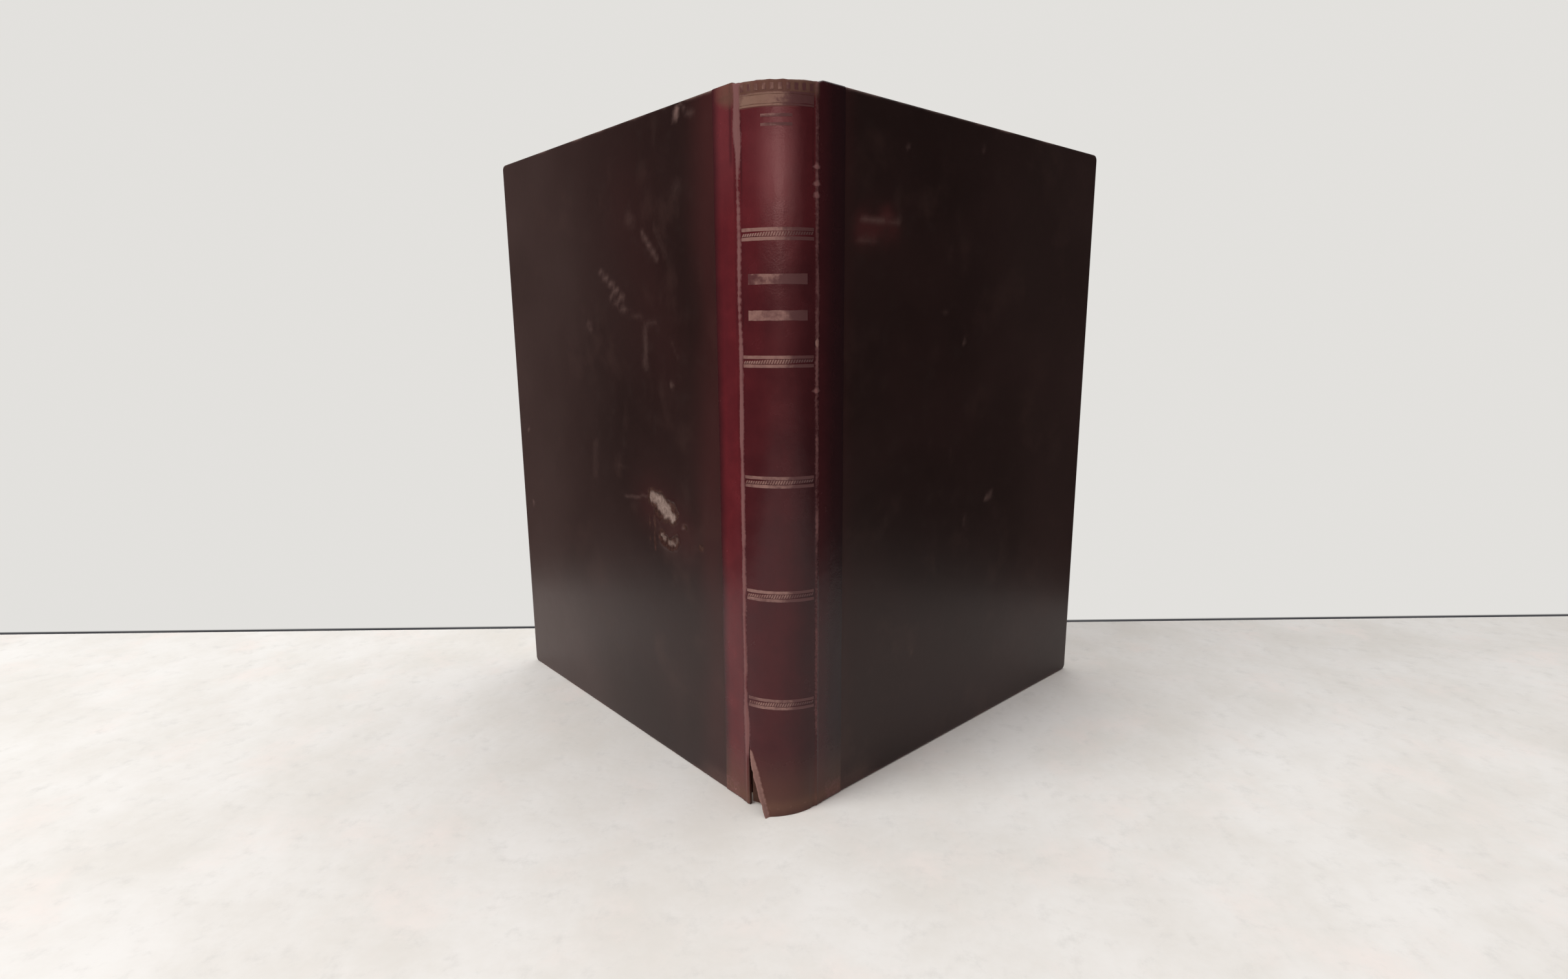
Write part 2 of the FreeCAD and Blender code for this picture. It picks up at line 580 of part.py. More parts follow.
def cover(side):
    board_faces = ("Layout.board_in", "Layout.board_out")
    inside = ("Layout.board_in - " + PAST, "Layout.board_in")
    skin_edge = ("Sizes.skin", f"{HEAD} - Sizes.skin")
    window = ("Sizes.turn_in", f"{HEAD} - Sizes.turn_in")
    fore_edge = "Sizes.cover_width"

    blank = round_edges(
        slab("board_blank", side, ("Sizes.board_start", f"{fore_edge} - Sizes.skin"),
             board_faces, skin_edge),
        size("corner_radius") - size("skin"))
    slips = []
    for i in range(int(size("cord_count"))):
        middle = cord_height(i)
        slips.append(slab(f"slip_{i + 1}", side,
                          ("Sizes.board_start", "Sizes.board_start + Sizes.slip_length"),
                          ("Layout.board_out - Sizes.slip_depth", "Layout.board_out"),
                          (f"{middle} - Sizes.slip_width / 2",
                           f"{middle} + Sizes.slip_width / 2")))
    slip_group = group(f"{side}_slips", slips)
    finish(hang(cut(f"{side}_board_cut", blank, slip_group), side), f"{side}_board")
    finish(hang(group(f"{side}_slip_set", [slip_group]), side), f"{side}_cord_slips")

    strip = slab("strip_blank", side, (TAIL, "Sizes.strip_width"),
                 ("Layout.turn_in_face", "Layout.half_leather"), (TAIL, HEAD))
    joint_side = slab("strip_joint_side", side, ("-" + PAST, "Sizes.board_start"),
                      ("Layout.board_in - " + PAST, "Layout.board_out"),
                      ("-" + PAST, f"{HEAD} + {PAST}"))
    strip_window = slab("strip_window", side, (TAIL, f"Sizes.strip_width + {PAST}"),
                        inside, window)
    bead_room = make("Part::Cylinder", f"{side}_bead_room", Radius="Sizes.joint_clear",
                     Height=HEAD)
    strip_cuts = join(f"{side}_strip_cuts", [blank, joint_side, strip_window, bead_room])
    strip = round_edges(strip, 0, size("edge_radius"))
    finish(hang(cut(f"{side}_strip_cut", strip, strip_cuts), side), f"{side}_leather_strip")

    wrap = round_edges(
        slab("wrap_blank", side, ("Sizes.strip_width", fore_edge),
             ("Layout.turn_in_face", "Layout.board_out + Sizes.skin"), (TAIL, HEAD)),
        size("corner_radius"), size("edge_radius"))
    wrap_window = slab("wrap_window", side, (TAIL, f"{fore_edge} - Sizes.turn_in"),
                       inside, window)
    chips = [chip(number) for number in (1, 2)] if side == "rear" else []
    wrap_cuts = join(f"{side}_wrap_cuts", [blank, wrap_window] + chips)
    finish(hang(cut(f"{side}_wrap_cut", wrap, wrap_cuts), side), f"{side}_side_cover")

    filling = slab("pastedown_filling", side,
                   ("Sizes.board_start", f"{fore_edge} - Sizes.turn_in"),
                   ("Layout.turn_in_face", "Layout.board_in"), window)
    sheet = slab("pastedown_sheet", side,
                 ("Sizes.board_start", f"{fore_edge} - Sizes.turn_in + Sizes.pastedown_lap"),
                 ("Layout.turn_in_face - Sizes.pastedown", "Layout.turn_in_face"),
                 ("Sizes.turn_in - Sizes.pastedown_lap",
                  f"{HEAD} - Sizes.turn_in + Sizes.pastedown_lap"))
    finish(hang(join(f"{side}_pastedown_join", [filling, sheet]), side), f"{side}_pastedown")


text_block()
free_endpapers()
sewing_cords()
endbands()
spine_papers()
spine_leather()
gilt_tooling()
for side in ("front", "rear"):
    cover(side)
doc.recompute()

# Nothing is written unless every object and every sub-part came out whole.

faults = [f"{thing.Name} is {thing.State}" for thing in doc.Objects
          if "Invalid" in thing.State or "Error" in thing.State]
for piece in finished:
    if piece.Shape.isNull() or not piece.Shape.isValid() or not piece.Shape.Solids:
        faults.append(f"{piece.Label} has no valid solid")
if faults:
    raise SystemExit("\n".join(faults))

for piece in finished:
    piece.Shape.exportStep(f"parts/{piece.Label}.step")
    box = piece.Shape.BoundBox
    print(f"{piece.Label:22s} solids {len(piece.Shape.Solids):2d} volume {piece.Shape.Volume:10.1f}"
          f"  x {box.XMin:8.2f} {box.XMax:8.2f}  y {box.YMin:8.2f} {box.YMax:8.2f}"
          f"  z {box.ZMin:7.2f} {box.ZMax:7.2f}")
print(f"joint axes at x = +-{size('spine_half')}, y = {layout.joint_y:.4f}")
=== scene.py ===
# An old quarter-bound book that stands on its tail with both covers splayed.
#
# Metres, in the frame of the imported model: +Z up, the spine faces -Y, the front
# cover is on the +X side. Lengths below are written in millimetres and times MM.

import bpy
import json
import math
import numpy as np
from mathutils import Matrix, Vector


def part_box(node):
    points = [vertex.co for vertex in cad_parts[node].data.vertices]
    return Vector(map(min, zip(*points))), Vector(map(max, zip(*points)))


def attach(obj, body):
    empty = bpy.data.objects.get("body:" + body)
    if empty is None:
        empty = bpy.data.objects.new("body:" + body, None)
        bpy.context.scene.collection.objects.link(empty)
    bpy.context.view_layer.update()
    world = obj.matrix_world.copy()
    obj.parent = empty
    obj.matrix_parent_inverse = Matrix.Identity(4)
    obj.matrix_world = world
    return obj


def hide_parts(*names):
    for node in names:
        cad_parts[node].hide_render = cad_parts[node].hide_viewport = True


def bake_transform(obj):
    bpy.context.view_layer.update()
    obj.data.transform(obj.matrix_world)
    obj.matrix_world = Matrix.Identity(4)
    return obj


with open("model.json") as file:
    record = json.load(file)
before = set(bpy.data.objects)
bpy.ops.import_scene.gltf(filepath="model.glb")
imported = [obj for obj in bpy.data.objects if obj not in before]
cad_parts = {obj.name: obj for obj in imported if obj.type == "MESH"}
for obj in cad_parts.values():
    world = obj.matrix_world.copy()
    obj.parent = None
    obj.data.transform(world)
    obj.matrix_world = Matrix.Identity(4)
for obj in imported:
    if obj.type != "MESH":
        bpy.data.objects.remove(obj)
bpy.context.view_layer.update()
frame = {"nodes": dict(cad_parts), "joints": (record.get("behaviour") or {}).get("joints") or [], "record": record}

MM = 0.001

# Places that the frame gives.

JOINTS = {joint["name"]: joint for joint in frame["joints"]}
JOINT_X, JOINT_Y, _ = JOINTS["front_joint"]["pos_m"]
COVER_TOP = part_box("front_side_cover")[1].z
SPINE_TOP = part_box("spine_leather")[1].z
BLOCK_LOW, BLOCK_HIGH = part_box("text_block")

# Sizes of the binding, as the frame's own source has them.

OPENING = math.radians(44.4)        # how far each cover stands open
SPINE_CROWN = 4.15 * MM             # the round spine stands this far before the joints
LEATHER = 0.7 * MM
HALF = LEATHER / 2
SKIN = 0.5 * MM
BOARD = 3.0 * MM
BOARD_START = 3.5 * MM              # joint axis to the board's spine edge
COVER_WIDTH = 183.6 * MM
STRIP_WIDTH = 13.0 * MM             # red leather on each board
TURN_IN = 8.0 * MM
PARED = 0.4 * MM                    # leather thinned where it is turned in
INLAY = 0.6 * MM                    # card inside the spine
HOLLOW = 0.1 * MM
SPINE_LINING = 0.4 * MM
GLUE = 0.05 * MM
CORNER_RADIUS = 2.5 * MM
CORNER_STEPS = 5                    # points round each corner
EDGE_RADIUS = 1.0 * MM
CAP_DEPTH = 1.7 * MM                # headcap, front to back
CAP_TURN_IN = 15.0 * MM
TEAR_HEIGHT = 24.0 * MM
FLAP_REACH = 8.5 * MM               # torn corner in front of the joints
FLAP_SIDE = 5.8 * MM                # torn corner to the middle of the book
SEAM = 0.94 * MM                    # the tear runs this far from the rear joint
SHOULDER = 3.2 * MM                 # depth of the block's shoulder
SHOULDER_SLOPE = 1.87 * MM          # depth over which it widens
FORE_EDGE_HOLLOW = 3.5 * MM
BAND_HEIGHTS = [(42.5 + 41.0 * k) * MM for k in range(6)]
BAR_HEIGHTS = [180.6 * MM, 192.3 * MM]
SHORT_LINE_HEIGHTS = [242.4 * MM, 239.7 * MM]

SPINE_RADIUS = (JOINT_X ** 2 + SPINE_CROWN ** 2) / (2 * SPINE_CROWN)
SPINE_CENTRE_Y = JOINT_Y + SPINE_RADIUS - SPINE_CROWN
ARC = SPINE_RADIUS * math.asin(JOINT_X / SPINE_RADIUS)   # spine's middle to a joint
SEAM_AT = ARC - SEAM
FACE = SKIN - HALF                  # outside of the dark covering, from the joint axis
INSIDE = -HALF - BOARD - SKIN       # inside of the turn-ins
WAY = {"front": 1, "rear": -1}      # the side of the book that a cover is on


# Smooth numbers that look random and are the same on each run.

def wander(a, b, cell_a, cell_b, seed):
    """Smooth noise from -1 to 1: a fixed table of numbers on a grid of cells, eased between."""
    table = np.random.default_rng(seed).uniform(-1.0, 1.0, (64, 64))
    i, j = a / cell_a, b / cell_b
    i0, j0 = np.floor(i).astype(int), np.floor(j).astype(int)
    fi, fj = i - i0, j - j0
    fi, fj = fi * fi * (3 - 2 * fi), fj * fj * (3 - 2 * fj)

    def corner(di, dj):
        return table[(i0 + di) % 64, (j0 + dj) % 64]

    return ((corner(0, 0) * (1 - fi) + corner(1, 0) * fi) * (1 - fj)
            + (corner(0, 1) * (1 - fi) + corner(1, 1) * fi) * fj)


def rough(a, b, cell_a, cell_b, seed, layers=3):
    """Layers of wander, each half as large and half as strong as the last."""
    total = sum(wander(a, b, cell_a / 2 ** k, cell_b / 2 ** k, seed + k) / 2 ** k
                for k in range(layers))
    return total / 1.75


def ease(x, low, high):
    """0 at low, 1 at high and a smooth S between."""
    t = np.clip((x - low) / (high - low), 0.0, 1.0)
    return t * t * (3 - 2 * t)


def hump(x, middle, width):
    """A bell of height 1 round middle."""
    return np.exp(-((x - middle) / width) ** 2)


def spaced(*stops):
    """Positions along a line: pairs of (stop, step), each stretch divided at its own step."""
    places = [np.array([stops[0][0]])]
    for (start, _), (stop, step) in zip(stops, stops[1:]):
        count = max(1, round((stop - start) / step))
        places.append(start + (stop - start) * np.arange(1, count + 1) / count)
    return np.concatenate(places)


# Meshes from grids.

def grid_faces(rows, columns, first=0, round_columns=False):
    """Quads of a grid whose points are numbered row by row from first."""
    j = np.arange(columns if round_columns else columns - 1)
    i, j = np.meshgrid(np.arange(rows - 1), j, indexing="ij")
    next_i, next_j = i + 1, (j + 1) % columns
    corners = [i * columns + j, next_i * columns + j,
               next_i * columns + next_j, i * columns + next_j]
    return np.stack([c.ravel() for c in corners], axis=1) + first


def flip(faces):
    """The same faces, facing the other way."""
    return np.asarray(faces)[:, ::-1]


def build(name, points, faces, material, sharp=50.0, **attributes):
    """A mesh object from points and blocks of faces, smooth but at edges sharper than sharp."""
    mesh = bpy.data.meshes.new(name)
    listed = [[int(k) for k in face] for block in faces for face in block]
    mesh.from_pydata(np.asarray(points).reshape(-1, 3).tolist(), [], listed)
    mesh.update()
    for label, values in attributes.items():
        layer = mesh.attributes.new(label, "FLOAT", "POINT")
        layer.data.foreach_set("value", np.asarray(values, np.float32).ravel())
    mesh.shade_smooth()
    mesh.set_sharp_from_angle(angle=math.radians(sharp))
    mesh.materials.append(material)
    piece = bpy.data.objects.new(name, mesh)
    bpy.context.scene.collection.objects.link(piece)
    return piece


def sheet_faces(rows, columns):
    """A closed thin sheet from two grids, the outer one first, with its four edge walls."""
    outer = np.arange(rows * columns).reshape(rows, columns)
    inner = outer + rows * columns

    def wall(a, b):
        return np.stack([a[:-1], a[1:], b[1:], b[:-1]], axis=1)

    return [grid_faces(rows, columns), flip(grid_faces(rows, columns, rows * columns)),
            wall(outer[0], inner[0]), wall(outer[:, -1], inner[:, -1]),
            flip(wall(outer[-1], inner[-1])), flip(wall(outer[:, 0], inner[:, 0]))]


def joined(parts):
    """Several (points, faces) as one, with their faces renumbered."""
    points, faces, first = [], [], 0
    for part_points, part_faces in parts:
        part_points = np.asarray(part_points).reshape(-1, 3)
        points.append(part_points)
        faces += [np.asarray(block) + first for block in part_faces]
        first += len(part_points)
    return np.concatenate(points), faces


# Materials. Each is a few nodes behind one Principled shader.

class Finish:
    """A material in the making, with short calls for the nodes that it uses."""

    def __init__(self, name, roughness=0.5, **sockets):
        self.material = bpy.data.materials.new(name)
        self.material.use_nodes = True
        self.tree = self.material.node_tree
        self.shader = self.tree.nodes["Principled BSDF"]
        self.shader.inputs["Roughness"].default_value = roughness
        for label, value in sockets.items():
            self.shader.inputs[label.replace("_", " ")].default_value = value
        self.place = self.node("ShaderNodeTexCoord").outputs["Object"]

    def node(self, kind, **settings):
        made = self.tree.nodes.new(kind)
        for label, value in settings.items():
            setattr(made, label, value)
        return made

    def feed(self, socket, value):
        """Link a node's output, or set a plain number or colour."""
        if isinstance(value, bpy.types.NodeSocket):
            self.tree.links.new(value, socket)
        elif isinstance(value, tuple) and socket.type == "RGBA":
            socket.default_value = (*value, 1.0)
        else:
            socket.default_value = value

    def attribute(self, label):
        return self.node("ShaderNodeAttribute", attribute_name=label).outputs["Fac"]

    def apart(self):
        """The object coordinates as outputs X, Y and Z."""
        made = self.node("ShaderNodeSeparateXYZ")
        self.feed(made.inputs["Vector"], self.place)
        return made.outputs

    def stretched(self, x, y, z):
        """Object coordinates times x, y and z."""
        mapping = self.node("ShaderNodeMapping")
        self.feed(mapping.inputs["Vector"], self.place)
        mapping.inputs["Scale"].default_value = (x, y, z)
        return mapping.outputs["Vector"]

    def noise(self, scale, detail=3.0, rough=0.55, vector=None):
        made = self.node("ShaderNodeTexNoise")
        self.feed(made.inputs["Vector"], self.place if vector is None else vector)
        made.inputs["Scale"].default_value = scale
        made.inputs["Detail"].default_value = detail
        made.inputs["Roughness"].default_value = rough
        return made.outputs["Fac"]

    def cells(self, scale, vector=None):
        made = self.node("ShaderNodeTexVoronoi")
        self.feed(made.inputs["Vector"], self.place if vector is None else vector)
        made.inputs["Scale"].default_value = scale
        return made.outputs["Distance"]

    def span(self, value, low, high, to_low=0.0, to_high=1.0):
        """value between low and high, carried smoothly to to_low and to_high."""
        made = self.node("ShaderNodeMapRange", interpolation_type="SMOOTHSTEP")
        for socket, number in zip(made.inputs, (value, low, high, to_low, to_high)):
            self.feed(socket, number)
        return made.outputs["Result"]

    def sum(self, operation, *numbers):
        made = self.node("ShaderNodeMath", operation=operation)
        for socket, number in zip(made.inputs, numbers):
            self.feed(socket, number)
        return made.outputs["Value"]

    def broken(self, value, grain, strength):
        """value with a grain noise of the given strength added, to fray its edge."""
        return self.sum("ADD", value, self.sum("MULTIPLY_ADD", grain, strength, -strength / 2))

    def blend(self, share, a, b):
        """Colour a, turning to b as share goes to 1."""
        made = self.node("ShaderNodeMix", data_type="RGBA")
        self.feed(made.inputs[0], share)
        self.feed(made.inputs[6], a)
        self.feed(made.inputs[7], b)
        return made.outputs[2]

    def colour(self, value):
        self.feed(self.shader.inputs["Base Color"], value)

    def roughness(self, value):
        self.feed(self.shader.inputs["Roughness"], value)

    def bump(self, *layers):
        """Layers of (height, depth in metres), one over the other."""
        normal = None
        for height, depth in layers:
            made = self.node("ShaderNodeBump")
            made.inputs["Strength"].default_value = 1.0
            made.inputs["Distance"].default_value = depth
            self.feed(made.inputs["Height"], height)
            if normal is not None:
                self.feed(made.inputs["Normal"], normal)
            normal = made.outputs["Normal"]
        self.feed(self.shader.inputs["Normal"], normal)


def red_leather():
    """Dark crimson calf: mottled, browned in parts, darkened in parts and with painted shade on the
    front side, paler below the head with fading and a painted highlight, rubbed pale at wear,
    and bare fibre at raw."""
    f = Finish("red_leather", Coat_Weight=0.08, Coat_Roughness=0.25, Specular_IOR_Level=0.25)
    mottle = f.noise(90.0, 4.0, 0.6)
    streak = f.noise(60.0, 3.0, 0.5, f.stretched(3.0, 3.0, 0.35))
    specks = f.noise(900.0, 3.0, 0.7)
    base = f.blend(f.span(mottle, 0.3, 0.75), (0.074, 0.0090, 0.0120), (0.100, 0.0120, 0.0155))
    base = f.blend(f.span(streak, 0.35, 0.85, 0.0, 0.25), base, (0.045, 0.010, 0.013))
    # Paler where faded, and on the spine below the head a pale patch that is a painted highlight as well as
    # fading.
    base = f.blend(f.attribute("faded"), base, (0.160, 0.040, 0.045))
    # Darker in parts, and painted shade on the front side of the spine and on the front strip.
    base = f.blend(f.attribute("darkened_and_shade"), base, (0.013, 0.0055, 0.0065))
    base = f.blend(f.attribute("browned"), base, (0.112, 0.058, 0.039))
    rubbed = f.span(f.broken(f.attribute("wear"), specks, 0.8), 0.2, 0.8)
    base = f.blend(rubbed, base, (0.150, 0.066, 0.063))
    bared = f.span(f.broken(f.attribute("raw"), specks, 0.5), 0.35, 0.65)
    f.colour(f.blend(bared, base, f.blend(specks, (0.155, 0.080, 0.068), (0.260, 0.155, 0.130))))
    dull = f.sum("MAXIMUM", f.sum("MAXIMUM", rubbed, bared), f.attribute("browned"))
    f.roughness(f.span(f.sum("MULTIPLY_ADD", mottle, 0.35, f.sum("MULTIPLY", dull, 0.7)),
                       0.0, 1.1, 0.21, 0.8))
    f.bump((f.noise(260.0, 4.0, 0.5), 0.00003), (f.cells(1500.0), 0.000015))
    return f.material


def dark_skin():
    """Almost black glazed covering: lighter where faded, with scuffs, reddened rubs, and chips
    down to the board."""
    f = Finish("dark_leather", Coat_Weight=0.08, Coat_Roughness=0.2, Specular_IOR_Level=0.24,
               Specular_Tint=(1.0, 0.84, 0.78, 1.0))
    cloud = f.noise(16.0, 3.0, 0.5)
    fine = f.noise(150.0, 4.0, 0.6)
    specks = f.noise(700.0, 3.0, 0.7)
    base = f.blend(f.span(cloud, 0.3, 0.7), (0.0135, 0.0066, 0.0060), (0.0205, 0.0098, 0.0090))
    base = f.blend(f.span(fine, 0.5, 0.8, 0.0, 0.35), base, (0.026, 0.017, 0.015))
    blotch = f.noise(38.0, 4.0, 0.62)
    base = f.blend(f.span(blotch, 0.52, 0.72, 0.0, 0.5), base, (0.036, 0.019, 0.016))
    base = f.blend(f.attribute("faded"), base, (0.047, 0.029, 0.026))
    base = f.blend(f.span(f.attribute("reddened"), 0.0, 1.0, 0.0, 0.85), base,
                   (0.058, 0.0145, 0.0145))
    scuffed = f.span(f.broken(f.attribute("scuff"), specks, 0.3), 0.05, 1.0)
    base = f.blend(scuffed, base, (0.120, 0.074, 0.064))
    bareness = f.broken(f.attribute("bare"), f.noise(420.0, 4.0, 0.7), 0.45)
    bared = f.span(bareness, 0.22, 0.38)
    paste = f.blend(f.span(specks, 0.35, 0.7), (0.024, 0.010, 0.008), (0.056, 0.026, 0.020))
    board = f.blend(f.span(specks, 0.3, 0.7), (0.125, 0.088, 0.074), (0.235, 0.175, 0.148))
    f.colour(f.blend(bared, base, f.blend(f.span(bareness, 0.52, 0.95), paste, board)))
    dull = f.sum("MAXIMUM", scuffed, bared)
    f.roughness(f.span(f.sum("MULTIPLY_ADD", fine, 0.3, dull), 0.0, 1.2, 0.38, 0.85))
    f.bump((f.noise(420.0, 3.0, 0.6), 0.00002))
    return f.material


def gilt():
    """Gold leaf pressed in the leather, half rubbed away, and browned at the head."""
    f = Finish("gilt", Specular_IOR_Level=0.6)
    specks = f.noise(650.0, 4.0, 0.65)
    patches = f.noise(120.0, 3.0, 0.6)
    kept = f.sum("MULTIPLY_ADD", patches, 0.8, f.sum("MULTIPLY", specks, 0.6))
    kept = f.span(f.sum("ADD", kept, f.attribute("kept")), 0.55, 0.95)
    gold = f.blend(specks, (0.150, 0.074, 0.064), (0.235, 0.130, 0.105))
    worn = f.blend(specks, (0.150, 0.082, 0.056), (0.195, 0.112, 0.080))
    gold = f.blend(f.attribute("browned"), gold, worn)
    f.colour(f.blend(kept, (0.070, 0.020, 0.020), gold))
    f.roughness(f.span(kept, 0.0, 1.0, 0.5, 0.42))
    f.bump((specks, 0.00004))
    return f.material


def page_edges():
    """Aged page edges: fine lines that follow the leaves, browned in patches."""
    f = Finish("pages", 0.85, Specular_IOR_Level=0.15)
    apart = f.apart()
    line = f.node("ShaderNodeCombineXYZ")
    for axis, value, scale in (("X", f.attribute("leaf"), 1.7), ("Y", apart["Y"], 14.0),
                               ("Z", apart["Z"], 14.0)):
        f.feed(line.inputs[axis], f.sum("MULTIPLY", value, scale))
    lines = f.noise(1.0, 4.0, 0.75, line.outputs["Vector"])
    base = f.blend(f.span(lines, 0.3, 0.7), (0.34, 0.235, 0.135), (0.66, 0.53, 0.36))
    stain = f.span(f.noise(35.0, 4.0, 0.6), 0.45, 0.75, 0.0, 0.6)
    f.colour(f.blend(stain, base, (0.36, 0.25, 0.14)))
    f.bump((lines, 0.0001))
    return f.material


def old_paper():
    """Laid paper with foxing spots and brown clouds, brown where rim is 1, and darker over that with dirt and
    painted shade.
    """
    f = Finish("endpaper", 0.8, Specular_IOR_Level=0.2)
    fibre = f.noise(900.0, 2.0, 0.6)
    light, dark = (0.66, 0.55, 0.38), (0.56, 0.45, 0.29)
    base = f.blend(f.span(f.noise(18.0, 4.0, 0.6), 0.35, 0.7), light, dark)
    spots = f.sum("MULTIPLY", f.span(f.cells(55.0), 0.02, 0.16, 0.55, 0.0),
                  f.span(f.noise(30.0, 2.0), 0.5, 0.65))
    base = f.blend(spots, base, (0.30, 0.16, 0.07))
    base = f.blend(f.span(f.attribute("rim"), 0.0, 1.0, 0.0, 0.7), base, (0.33, 0.21, 0.11))
    base = f.blend(f.span(fibre, 0.3, 0.8, 0.0, 0.2), base, dark)
    # Where rim passes 1.1 the paper turns almost black, as dirt and painted shade, mainly for the rear fold seen
    # in the tear's gap.
    f.colour(f.blend(f.span(f.attribute("rim"), 1.1, 1.9), base, (0.034, 0.015, 0.011)))
    laid = f.node("ShaderNodeTexWave", wave_type="BANDS", bands_direction="Z")
    f.feed(laid.inputs["Vector"], f.place)
    laid.inputs["Scale"].default_value = 260.0
    laid.inputs["Distortion"].default_value = 0.6
    f.bump((laid.outputs["Fac"], 0.00002), (fibre, 0.00003))
    return f.material


def plain_fibre(name, light, dark, scale):
    """Cord, card, lining or pasteboard: two browns in a fibrous noise, darkened below the tear by dirt and painted
    shade.
    """
    f = Finish(name, 0.85, Specular_IOR_Level=0.2)
    fibre = f.noise(scale, 4.0, 0.65, f.stretched(1.0, 1.0, 3.0))
    # Dirt and painted shade: almost black below the tear's height, as seen in its gap.
    dirt_and_shade = f.span(f.apart()["Z"], 0.024, 0.044, 0.9, 0.0)
    f.colour(f.blend(dirt_and_shade, f.blend(f.span(fibre, 0.3, 0.7), dark, light), (0.034, 0.013, 0.009)))
    f.bump((fibre, 0.00008))
    return f.material


def wound_silk():
    """Faded silk thread in two colours."""
    f = Finish("endband_silk", 0.6, Sheen_Weight=0.3)
    fibre = f.noise(1500.0, 2.0)
    cream = f.blend(fibre, (0.50, 0.40, 0.26), (0.64, 0.54, 0.38))
    faded_red = f.blend(fibre, (0.20, 0.06, 0.05), (0.32, 0.12, 0.09))
    f.colour(f.blend(f.attribute("thread"), cream, faded_red))
    f.bump((fibre, 0.00003))
    return f.material


RED_LEATHER = red_leather()
DARK_SKIN = dark_skin()
GILT = gilt()
PAGE_EDGES = page_edges()
ENDPAPER = old_paper()
SILK = wound_silk()
CORD = plain_fibre("cord", (0.56, 0.47, 0.34), (0.38, 0.29, 0.19), 900.0)
LINING = plain_fibre("lining_paper", (0.42, 0.33, 0.22), (0.28, 0.21, 0.14), 400.0)
CARD = plain_fibre("card", (0.20, 0.135, 0.09), (0.11, 0.07, 0.05), 500.0)
PASTEBOARD = plain_fibre("pasteboard", (0.64, 0.52, 0.40), (0.46, 0.35, 0.25), 600.0)


# The leather's middle surface: round between the joints, flat on the boards. s runs
# over it from the rear board to the front board and is 0 at the spine's middle; v
# points out of the book; z is up.

def leather_frame(s):
    """Plan point and outward normal at s. The normal's turn is eased at each crease."""
    over = np.maximum(np.abs(s) - ARC, 0.0)
    side = np.sign(s)
    turn = np.clip(s, -ARC, ARC) / SPINE_RADIUS
    x = SPINE_RADIUS * np.sin(turn) + side * over * math.sin(OPENING)
    y = SPINE_CENTRE_Y - SPINE_RADIUS * np.cos(turn) + over * math.cos(OPENING)
    onto_board = ease(np.abs(s), ARC - 0.6 * MM, ARC + 0.6 * MM)
    turn = turn * (1 - onto_board) + side * (math.pi / 2 - OPENING) * onto_board
    return np.stack([x, y], -1), np.stack([np.sin(turn), -np.cos(turn)], -1)


def leather_relief(s, z):
    """Outward height: the worn ridge along each joint, slow unevenness and small wrinkles."""
    swell = 0.8 + 0.4 * rough(s * 0 + np.sign(s) * 7.3, z, 1.0, 22 * MM, 11)
    ridge = 0.28 * MM * swell * hump(np.abs(s), ARC, 0.6 * MM)
    slow = 0.10 * MM * rough(s, z, 9 * MM, 34 * MM, 21)
    fine = 0.022 * MM * rough(s, z, 1.6 * MM, 3.0 * MM, 27)
    return ridge + slow + fine


def crease_wear(s, z):
    """How far the leather is rubbed pale: the crease strong at the rear joint and weaker at the
    front one, where it is nicked across in a few places."""
    drift = 0.3 * MM * rough(s * 0 + np.sign(s), z, 1.0, 14 * MM, 33, 4)
    wide = ease(z, 218 * MM, 238 * MM) + 0.6 * hump(z, 32 * MM, 10 * MM)
    line = hump(np.abs(s) + drift, ARC, 0.95 * MM * (1 + 0.6 * wide * (s < 0)))
    broken = 0.80 + 0.7 * rough(s, z, 3 * MM, 11 * MM, 31, 4)
    dotted = 0.75 + 0.5 * np.sin(z * math.pi / (1.05 * MM)) ** 2
    rear = 1.15 - 0.35 * hump(z, 226 * MM, 6 * MM) - 0.75 * ease(z, 24 * MM, 17 * MM)
    rear = rear * np.where(np.abs(z - 195 * MM) < 29 * MM, dotted, 1.0)
    patch = 0.8 * hump(np.hypot((s + ARC + 1.0 * MM) / 1.3, (z - 240 * MM) / 5.0), 0.0, 1.0 * MM)
    front = 0.62 - 0.3 * ease(z, 60 * MM, 20 * MM)
    nicks = sum(hump(z, height * MM, 0.45 * MM) for height in (218.7, 222.3, 227.5, 155.6))
    nicks = nicks * hump(s, ARC - 0.3 * MM, 1.7 * MM)
    speckle = 0.42 * ease(z, 13 * MM, 4 * MM) * ease(np.abs(s), ARC + 2 * MM, ARC + 6 * MM)
    return line * broken * np.where(s < 0, rear, front) + 0.9 * nicks + patch + speckle


def joint_chip(s, z):
    """The small chip in the front crease: 1 in its bare middle."""
    return hump(np.hypot((s - ARC) / 1.1, (z - 171.5 * MM) / 2.0), 0.0, 0.75 * MM)


